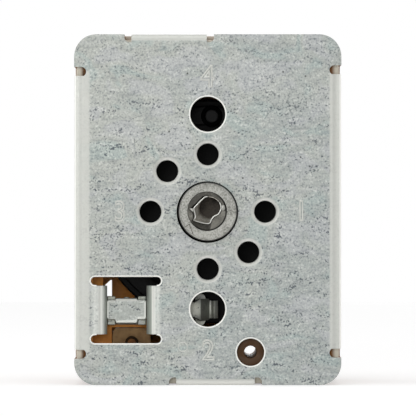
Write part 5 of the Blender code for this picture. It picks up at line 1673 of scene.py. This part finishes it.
@dataclass
class Spindle:
    """Spindle with its turned face, its socket and grip, its spring and the index mark."""

    proud: float = 0.0012
    face_edge: float = 0.0052
    flange: float = 0.00503
    flange_back: float = 0.0006
    edge: float = 0.0001
    mouth: tuple[float, float, float] = (-0.0001, 0.00007, 0.00336)
    mouth_edge: float = 0.0001
    mouth_count: int = 72
    shelf: float = -0.0004
    pocket: float = 0.0002
    socket_end: float = 0.0073
    socket_clear: float = 0.0075
    outward: float = 1e-5
    opening: Profile = (
        (-0.0005, 0.003), (-0.00292, 0.00078), (-0.00294, 0.00042), (-0.00268, -0.0002), (-0.0025, -0.0011),
        (-0.00286, -0.0016), (-0.00245, -0.00212), (-0.0019, -0.0026), (-0.0012, -0.00296),
        (-0.0004, -0.00314), (0.00046, -0.00314), (0.0005, -0.00236), (0.0008, -0.00136),
        (0.00122, -0.0009), (0.00204, -0.00064), (0.00248, 0.00034), (0.00252, 0.001), (0.00224, 0.0017),
        (0.0017, 0.00232), (0.001, 0.00268), (0.0002, 0.0028))
    grip: Profile = (
        (-0.00052, 0.00268), (-0.00256, 0.0006), (-0.00256, 0.00036), (-0.00238, -0.0002),
        (-0.00222, -0.00124), (-0.00272, -0.00164), (-0.00181, -0.00184), (-0.00077, -0.00214),
        (0.00032, -0.00222), (0.00062, -0.0013), (0.00111, -0.00075), (0.00192, -0.00047),
        (0.00232, 0.00038), (0.00238, 0.00096), (0.0021, 0.00164), (0.0016, 0.00218), (0.00095, 0.00254),
        (0.0002, 0.00268))
    grip_sheet: float = 0.00018
    grip_edge: float = 0.00003
    grip_front: float = -0.00046
    grip_shrink: float = 0.06
    sunk_from: int = 14
    sink: float = 0.0007
    bore: tuple[float, float, float] = (0.00037, 0.00076, 0.00182)
    bore_depth: float = 0.0022
    bore_count: int = 54
    grip_end: float = 0.0052
    floor_depth: float = 0.0034
    floor_profile: Profile = (
        (0.0, 0.0006), (0.0, 0.00005), (0.00091, 0.0), (0.00182, -0.0002), (0.00188, 0.0006))
    ears: tuple[Profile, ...] = (
        ((-0.00328, 0.00056), (-0.00262, 0.0006), (-0.00236, -0.00014), (-0.00274, 0.0001)),
        ((0.00236, 0.00026), (0.00276, 0.0002), (0.0031, 0.0005), (0.00296, 0.0011), (0.00256, 0.00126)))
    ear_lift: float = 0.00012
    ear_sheet: float = 0.0001
    ear_edge: float = 0.00004
    spring_radius: float = 0.0031
    spring_wire: float = 0.0006
    spring_turns: float = 4.5
    wire_facets: int = 12
    turn_facets: int = 32
    travel: float = 0.0024
    strokes: tuple[tuple[Point, Point], ...] = (
        ((-0.0039, -0.00265), (-0.0032, -0.00215)), ((-0.0032, -0.00215), (-0.0026, -0.0039)))
    stroke_lift: float = 0.000004
    stroke_half: float = 0.00006
    stroke_sheet: float = 0.00002

    def build(self, dresser: NodeDresser) -> None:
        """Dress the spindle and its parts.

        Args:
            dresser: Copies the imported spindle.
        """
        self._body(dresser)
        self._grip()
        self._ears()
        foot = DATUM.at(self.bore[0], self.floor_depth, self.bore[1])
        place_turned("bore_floor", self.floor_profile, foot, BORE_DULL, "spindle")
        self._spring()
        self._index_mark()

    def _loop(self, bm: BMesh, points: Profile,
              depth: float) -> Edges:
        """Draw a closed outline with softened corners.

        Args:
            bm: The working mesh.
            points: Its corners, as (x, z) from the shaft.
            depth: Its depth.

        Returns:
            Its edges.
        """
        pen = Pen(bm, depth, points[0])
        for point in points[1:]:
            pen.line(*point)
        edges = pen.close()
        cut = bmesh.ops.subdivide_edges(bm, edges=edges, cuts=2)
        verts = list({vert for edge in edges for vert in edge.verts}
                     | {item for item in cut["geom_inner"] if isinstance(item, BMVert)})
        bmesh.ops.smooth_vert(bm, verts=verts, factor=0.5, use_axis_x=True, use_axis_z=True)
        return list({edge for vert in verts for edge in vert.link_edges
                     if all(end in verts for end in edge.verts)})

    def _open_front(self, bm: BMesh) -> None:
        """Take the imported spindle's face and socket away and trim its flange.

        Args:
            bm: The working mesh.
        """
        inner = []
        for face in bm.faces:
            reach = max(math.hypot(vert.co.x, vert.co.z - DATUM.shaft) for vert in face.verts)
            middle = face.calc_center_median()
            outward = face.normal.x * middle.x + face.normal.z * (middle.z - DATUM.shaft) > self.outward
            shallow = middle.y < DATUM.front + self.socket_clear
            if reach < self.face_edge and shallow and not outward:
                inner.append(face)
        bmesh.ops.delete(bm, geom=inner, context="FACES")
        for vert in bm.verts:
            reach = math.hypot(vert.co.x, vert.co.z - DATUM.shaft)
            if reach > self.flange and vert.co.y < DATUM.front + self.flange_back:
                vert.co.x *= self.flange / reach
                vert.co.z = DATUM.shaft + (vert.co.z - DATUM.shaft) * self.flange / reach

    def _body(self, dresser: NodeDresser) -> None:
        """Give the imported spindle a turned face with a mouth, a shelf and the socket behind it.

        Args:
            dresser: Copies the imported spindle.
        """
        bm = dresser.copied("spindle")
        self._open_front(bm)
        dresser.soften(bm, self.edge)
        rim = [edge for edge in bm.edges if edge.is_boundary]
        x, z, radius = self.mouth
        centre = DATUM.at(x, 0, z)
        mouth = ring(bm, x, z, -self.proud, radius + self.mouth_edge, self.mouth_count)
        fill_flat(bm, [rim, mouth])
        edges = draw_in(bm, mouth, centre, radius / (radius + self.mouth_edge), self.mouth_edge)
        edges = draw_in(bm, edges, centre, 1.0, self.shelf + self.proud - self.mouth_edge)
        opening = self._loop(bm, self.opening, self.shelf)
        fill_flat(bm, [edges, opening])
        low = draw_in(bm, opening, centre, 1.0, self.pocket - self.shelf)
        throat = self._loop(bm, self.grip, self.pocket)
        fill_flat(bm, [low, throat])
        fill_flat(bm, [draw_in(bm, throat, centre, 1.0, self.socket_end - self.pocket)])
        bmesh.ops.recalc_face_normals(bm, faces=bm.faces[:])
        place_piece("spindle_dressed", bm, HUB, "spindle", ("spindle",))

    def _grip(self) -> None:
        """Form the sheet grip that lines the socket and tapers to a round bore."""
        bm = bmesh.new()
        x, z, radius = self.bore
        keep = 1 - self.grip_shrink
        inset = [(px * keep + x * self.grip_shrink, pz * keep + z * self.grip_shrink) for px, pz in self.grip]
        rim = self._loop(bm, tuple(inset), self.grip_front)
        first, last = [math.atan2(pz - z, px - x) for px, pz in (inset[self.sunk_from], inset[-1])]
        sunk = [vert for vert in {vert for edge in rim for vert in edge.verts}
                if first < math.atan2(vert.co.z - DATUM.shaft - z, vert.co.x - x) < last]
        bmesh.ops.translate(bm, verts=sunk, vec=(0, self.sink, 0))
        bore = ring(bm, x, z, self.bore_depth, radius, self.bore_count)
        bmesh.ops.bridge_loops(bm, edges=rim + bore)
        draw_in(bm, bore, DATUM.at(x, 0, z), 1.0, self.grip_end - self.bore_depth)
        bmesh.ops.recalc_face_normals(bm, faces=bm.faces[:])
        middle = DATUM.at(x, self.bore_depth, z)
        inward = [face.normal.dot(middle - face.calc_center_median()) * face.calc_area() for face in bm.faces]
        if sum(inward) < 0:
            bmesh.ops.reverse_faces(bm, faces=bm.faces[:])
        grip = place_piece("spindle_clip_dressed", bm, GRIP, "spindle", ("spindle_clip",))
        add_sheet_modifiers(grip, self.grip_sheet, self.grip_edge)

    def _ears(self) -> None:
        """Fold the two small ears of the grip over the shelf."""
        bm = bmesh.new()
        for corners in self.ears:
            bm.faces.new([bm.verts.new(DATUM.at(px, self.shelf - self.ear_lift, pz)) for px, pz in corners])
        face_forward(bm)
        # The ears are painted darker than the grip, as shade on the shelf.
        ears = place_piece("grip_ears", bm, GRIP_EAR_SHADED, "spindle")
        add_sheet_modifiers(ears, self.ear_sheet, self.ear_edge)

    def _spring(self) -> None:
        """Wind the coil spring round the spindle's tail."""
        low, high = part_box("spindle_spring")
        bm = bmesh.new()
        start = Vector((self.spring_radius, low.y + self.spring_wire / 2, DATUM.shaft))
        made = bmesh.ops.create_circle(bm, cap_ends=True, segments=self.wire_facets,
                                       radius=self.spring_wire / 2, matrix=Matrix.Translation(start))
        faces = list({face for vert in made["verts"] for face in vert.link_faces})
        steps = round(self.spring_turns * self.turn_facets)
        rise = (high.y - low.y - self.spring_wire) / steps
        bmesh.ops.spin(bm, geom=faces, cent=(0, start.y, DATUM.shaft), axis=(0, 1, 0), dvec=(0, rise, 0),
                       angle=math.tau * self.spring_turns, steps=steps)
        bmesh.ops.recalc_face_normals(bm, faces=bm.faces[:])
        spring = place_piece("spring_dressed", bm, BRIGHT_STEEL, "cam", ("spindle_spring",))
        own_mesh(spring)

    def _index_mark(self) -> None:
        """Scribe the small index mark on the spindle's face."""
        bm = bmesh.new()
        depth = -self.proud - self.stroke_lift
        for (ax, az), (bx, bz) in self.strokes:
            start = DATUM.at(ax, depth, az)
            end = DATUM.at(bx, depth, bz)
            aside = (end - start).normalized().cross(Vector((0, 1, 0))) * self.stroke_half
            corners = (start - aside, start + aside, end + aside, end - aside)
            bm.faces.new([bm.verts.new(corner) for corner in corners])
        face_forward(bm)
        mark = place_piece("index_mark", bm, SCRIBED, "spindle")
        mark.modifiers.new("depth", "SOLIDIFY").thickness = self.stroke_sheet


@dataclass
class CamDrive:
    """Black cam with the recess that shows through the upper hole."""

    ramp_front: float = 0.0074
    ramp_rise: float = 0.0016
    ramp_turn: float = 330.0
    recess_turn: float = 180.0
    recess: Point = (0.0007, 0.0168)
    rim_profile: Profile = (
        (0.0012, 0.0002), (0.0012, -0.0001), (0.00132, -0.0002), (0.0017, -0.0002), (0.0019, 0.0),
        (0.0019, 0.0002))
    floor_profile: Profile = (
        (0.0, 0.0002), (0.0, -0.00004), (0.001, -0.00004), (0.00115, 0.0001), (0.00115, 0.0002))
    edge: float = 0.00005

    def build(self, dresser: NodeDresser) -> None:
        """Dress the cam and its recess.

        Args:
            dresser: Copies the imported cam.
        """
        dresser.dress("cam_disc", BLACK, "cam", edge=self.edge)
        x, z = self.recess
        foot = DATUM.at(x, self.ramp_front - self.ramp_rise * self.recess_turn / self.ramp_turn, z)
        # The recess's rim is painted near-black as shade and its floor lighter as painted light.
        place_turned("cam_recess_rim", self.rim_profile, foot, BLACK_RIM_SHADE, "cam")
        place_turned("cam_recess_floor", self.floor_profile, foot, BLACK_FLOOR_LIT, "cam")


@dataclass
class Works:
    """The lever, the thermal strip, the contacts and the terminals."""

    plate_widen: float = 0.00028
    plate_raise: float = 0.0002
    plate_border: float = 0.0012
    plate_corner: float = 0.0009
    touch: float = 0.00005
    through: float = 0.9
    collar_profile: Profile = (
        (0.00072, 0.0002), (0.00072, -0.00008), (0.0008, -0.00014), (0.00106, -0.00012),
        (0.00116, -0.00002), (0.00116, 0.0002))
    wing: Profile = (
        (-0.00235, 0.0014), (-0.0022, 0.0019), (-0.0019, 0.0024), (-0.0015, 0.0027), (-0.0011, 0.0028),
        (-0.00075, 0.0027), (-0.0005, 0.0024), (-0.0003, 0.0019), (-0.00025, 0.0016))
    wing_depth: float = 0.0063
    wing_height: float = -0.0172
    wing_sheet: float = 0.00035
    wing_edge: float = 0.00008

    def build(self, dresser: NodeDresser) -> None:
        """Dress every piece of the works.

        Args:
            dresser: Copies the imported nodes.
        """
        # The pin is painted in the darker copy of the zinc, as shade.
        dresser.dress("pivot_pin", ZINC_CLAW_SHADED, "case")
        dresser.dress("follower_lever", ZINC_SHADED, "lever")
        dresser.dress("heater_rivet", OLD_COPPER, "lever")
        dresser.dress("bimetal_strip", STRIP_STEEL, "thermal_strip")
        dresser.dress("heater_winding", HEATER_WIRE, "thermal_strip")
        dresser.dress("push_button", Steatite(), "thermal_strip")
        self._pole(dresser, "main", "snap_blade", "main_blade")
        dresser.dress("calibration_screw", BRASS, "case")
        for tab in ("feed", "load", "line", "line_fixed", "pilot", "pilot_fixed"):
            dresser.dress(f"terminal_{tab}", BRASS, "case")
        self._pole(dresser, "line", "line_blade", "line_leaf")
        self._pole(dresser, "pilot", "pilot_blade", "pilot_leaf")
        self._heater_plate(dresser)
        self._rivet_collar()
        self._lever_wings()

    def _pole(self, dresser: NodeDresser, name: str, blade: str, body: str) -> None:
        """Dress a blade with its rivet and its two contacts.

        Args:
            dresser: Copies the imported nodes.
            name: First word of the contacts' names.
            blade: The blade's node.
            body: The body that the blade moves with.
        """
        dresser.dress(blade, BRONZE, body)
        dresser.dress(f"{name}_moving_contact", SILVER, body)
        dresser.dress(f"{name}_fixed_contact", SILVER, "case")
        dresser.dress(f"{blade}_rivet", BRASS, "case")

    def _heater_plate(self, dresser: NodeDresser) -> None:
        """Dress the mica plate, drawn a little wider and taller, with round corners.

        Args:
            dresser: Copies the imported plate.
        """
        bm = dresser.copied("heater_plate")
        low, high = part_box("heater_plate")
        for vert in bm.verts:
            if vert.co.x < low.x + self.plate_border:
                vert.co.x -= self.plate_widen
            if vert.co.z > high.z - self.plate_border:
                vert.co.z += self.plate_raise
        low = low - Vector((self.plate_widen, 0, 0))
        high = high + Vector((0, 0, self.plate_raise))
        corners = [edge for edge in bm.edges
                   if abs(edge.verts[0].co.y - edge.verts[1].co.y) > self.through * (high.y - low.y)
                   and all(min(abs(vert.co.x - side) for side in (low.x, high.x)) < self.touch
                           and min(abs(vert.co.z - side) for side in (low.z, high.z)) < self.touch
                           for vert in edge.verts)]
        break_edges(bm, corners, self.plate_corner, ROUND_STEPS)
        dresser.soften(bm, dresser.edge)
        place_piece("heater_plate_dressed", bm, Mica(), "thermal_strip", ("heater_plate",))

    def _lever_wings(self) -> None:
        """Cut the two rounded wings beside the lever's nose."""
        bm = bmesh.new()
        for side in (1, -1):
            bm.faces.new([bm.verts.new(DATUM.at(x, self.wing_depth, self.wing_height + side * reach))
                          for x, reach in self.wing])
        face_forward(bm)
        wings = place_piece("lever_wings", bm, ZINC_SHADED, "lever")
        add_sheet_modifiers(wings, self.wing_sheet, self.wing_edge)

    def _rivet_collar(self) -> None:
        """Turn the dark collar that the heater's rivet is set in."""
        low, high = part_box("heater_rivet")
        foot = Vector(((low.x + high.x) / 2, low.y, (low.z + high.z) / 2))
        place_turned("heater_rivet_collar", self.collar_profile, foot, OLD_COLLAR, "lever")


@dataclass
class Housing:
    """Phenolic housing with lugs behind the plate's notches and moulded marks on its back."""

    edge: float = 0.00022
    sharp: float = 50
    shoulder: Rounding = Rounding(depth=0.0083, radius=0.0015)
    lug_depth: Span = (0.0013, 0.0086)
    lug_half: float = 0.0012
    lug_edge: float = 0.00035
    side_lug: Span = (0.0204, 0.0229)
    end_lug: Span = (0.0284, 0.03)
    side_notches: tuple[tuple[int, float, float], ...] = ((-1, -0.0248, 0.0244), (1, -0.0246, 0.0247))
    end_notches: tuple[tuple[int, float, float], ...] = ((1, -0.0137, 0.00024), (-1, -0.0059, 0.0086))
    ledge_root: tuple[tuple[float, float, float], ...] = (
        (-0.0171, 0.0064, -0.021), (-0.0157, 0.009, -0.0186))
    back: float = 0.024
    numbers: tuple[tuple[str, float, float], ...] = (
        ("1", -0.0185, 0.0225), ("2", 0.0030, 0.0238), ("3", 0.0143, 0.0098),
        ("4", 0.0157, -0.0112), ("5", 0.0068, -0.0192), ("6", -0.0146, -0.0192))
    number_size: float = 0.003
    number_height: float = 0.00022
    ejectors: Profile = (
        (-0.0185, 0.0262), (0.0185, 0.0262), (-0.0185, -0.0258), (0.0185, -0.0258), (-0.009, 0.004),
        (0.005, 0.004))
    ejector_profile: Profile = (
        (0.0011, -0.0001), (0.0011, 0.00008), (0.00118, 0.00014), (0.00132, 0.00014), (0.0014, 0.00008),
        (0.0014, -0.0001))
    ejector_count: int = 32

    def build(self, dresser: NodeDresser) -> None:
        """Dress the housing and add its moulded marks.

        Args:
            dresser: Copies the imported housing.
        """
        dresser.dress("housing", BROWN, "case", edge=self.edge, sharp=self.sharp, rounding=self.shoulder)
        self._lugs(dresser)
        bm = bmesh.new()
        for text, x, z in self.numbers:
            place = Matrix.Translation(DATUM.at(x, self.back, z)) @ Matrix.Rotation(math.pi, 4, "Z") \
                @ Matrix.Rotation(math.pi / 2, 4, "X")
            bm.from_mesh(number_mesh(text, self.number_size, place, height=self.number_height))
        place_piece("housing_numbers", bm, BROWN, "case")
        bm = bmesh.new()
        for x, z in self.ejectors:
            turned(bm, self.ejector_profile, DATUM.at(x, self.back, z), self.ejector_count)
        place_piece("ejector_marks", bm, BROWN, "case")

    def _lugs(self, dresser: NodeDresser) -> None:
        """Add the lugs that show through the notches and the root of the low ledge.

        Args:
            dresser: Softens their edges.
        """
        bm = bmesh.new()
        front, back = self.lug_depth
        half = self.lug_half
        for side, *places in self.side_notches:
            left, right = sorted(side * reach for reach in self.side_lug)
            for z in places:
                block(bm, Vector((left, front, z - half)), Vector((right, back, z + half)))
        for side, *places in self.end_notches:
            low, high = sorted(side * reach for reach in self.end_lug)
            for x in places:
                block(bm, Vector((x - half, front, low)), Vector((x + half, back, high)))
        block(bm, *(Vector(corner) for corner in self.ledge_root))
        dresser.soften(bm, self.lug_edge)
        place_piece("housing_lugs", bm, BROWN, "case")


# Studio


@dataclass
class Studio:
    """Floor, white surroundings, soft lamps and the camera of a square-on product picture."""

    distance: float = 0.7
    field_width: float = 0.0725
    sensor: float = 36.0
    nearest: float = 0.01
    surroundings: float = 0.2
    centre: Point = (0.00004, 0.030905)
    floor_half: float = 0.6
    floor_shade: float = 0.7
    floor_glow: float = 0.5
    target: Vector = Vector((0, 0, 0.03))
    lamps: tuple[tuple[str, tuple[float, float, float], float, float], ...] = (
        ("left_panel", (-0.95, -0.15, 0.25), 0.9, 5.0),
        ("right_panel", (0.95, -0.15, 0.25), 0.9, 3.8),
        ("top_panel", (-0.05, -0.15, 1.0), 0.9, 3.4),
        ("front_softbox", (-0.22, -1.1, 0.24), 0.5, 2.8),
        ("rear_softbox", (0.25, 1.05, 0.45), 0.7, 2.4))

    def _floor_material(self) -> Material:
        """Make the white ground that keeps a soft shadow.

        Returns:
            The material.
        """
        graph = ShaderGraph("floor")
        path = graph.node("ShaderNodeLightPath", {}, {})
        camera, glossy, through = [Channel(graph, path.outputs[f"Is {ray} Ray"])
                                   for ray in ("Camera", "Glossy", "Transmission")]
        seen = camera.most(glossy).most(through)
        graph.connect("Base Color", (self.floor_shade, self.floor_shade, self.floor_shade, 1))
        graph.connect("Roughness", 0.9)
        graph.connect("Specular IOR Level", 0.0)
        graph.connect("Emission Color", (1, 1, 1, 1))
        graph.connect("Emission Strength", seen * self.floor_glow)
        return graph.material

    def _world(self) -> None:
        """Light the surroundings evenly and show them white."""
        world = bpy.data.worlds.new("surroundings")
        world.use_nodes = True
        tree = world.node_tree
        background = tree.nodes["Background"]
        background.inputs["Color"].default_value = (1, 1, 1, 1)
        path = tree.nodes.new("ShaderNodeLightPath")
        mix = tree.nodes.new("ShaderNodeMix")
        mix.inputs[2].default_value = self.surroundings
        mix.inputs[3].default_value = 1.0
        seen = path.outputs["Is Camera Ray"]
        for ray in ("Glossy", "Transmission"):
            either = tree.nodes.new("ShaderNodeMath")
            either.operation = "MAXIMUM"
            tree.links.new(seen, either.inputs[0])
            tree.links.new(path.outputs[f"Is {ray} Ray"], either.inputs[1])
            seen = either.outputs[0]
        tree.links.new(seen, mix.inputs[0])
        tree.links.new(mix.outputs[0], background.inputs["Strength"])
        bpy.context.scene.world = world

    def _floor(self) -> None:
        """Lay the pale floor."""
        bm = bmesh.new()
        bmesh.ops.create_grid(bm, x_segments=2, y_segments=2, size=self.floor_half)
        mesh = bpy.data.meshes.new("floor")
        bm.to_mesh(mesh)
        bm.free()
        floor = bpy.data.objects.new("floor", mesh)
        bpy.context.scene.collection.objects.link(floor)
        mesh.materials.append(self._floor_material())

    def _lamps(self) -> None:
        """Add the soft square lamps, all pointed at the object."""
        for name, place, size, power in self.lamps:
            lamp = bpy.data.lights.new(name, "AREA")
            lamp.size = size
            lamp.energy = power
            holder = bpy.data.objects.new(name, lamp)
            holder.location = place
            holder.rotation_euler = (self.target - Vector(place)).to_track_quat("-Z", "Y").to_euler()
            bpy.context.scene.collection.objects.link(holder)

    def _camera(self) -> None:
        """Set up the camera square on to the plate."""
        camera = bpy.data.cameras.new("camera")
        camera.sensor_width = self.sensor
        camera.lens = camera.sensor_width * self.distance / self.field_width
        camera.clip_start = self.nearest
        camera.dof.use_dof = False
        holder = bpy.data.objects.new("camera", camera)
        holder.location = (self.centre[0], DATUM.front - self.distance, self.centre[1])
        holder.rotation_euler = (math.pi / 2, 0, 0)
        bpy.context.scene.collection.objects.link(holder)
        bpy.context.scene.camera = holder

    def build(self) -> None:
        """Set up the surroundings, the floor, the lamps and the camera."""
        self._world()
        self._floor()
        self._lamps()
        self._camera()
        bpy.context.scene.view_settings.view_transform = "Standard"


def main() -> None:
    """Build and dress every sub-assembly, then the studio."""
    logging.basicConfig(level=logging.INFO, format="%(name)s: %(message)s")
    dresser = NodeDresser()
    FrontPlate().build()
    PivotBracket().build()
    for part in (Spindle(), CamDrive(), Works(), Housing()):
        part.build(dresser)
    Studio().build()


if __name__ == "__main__":
    main()
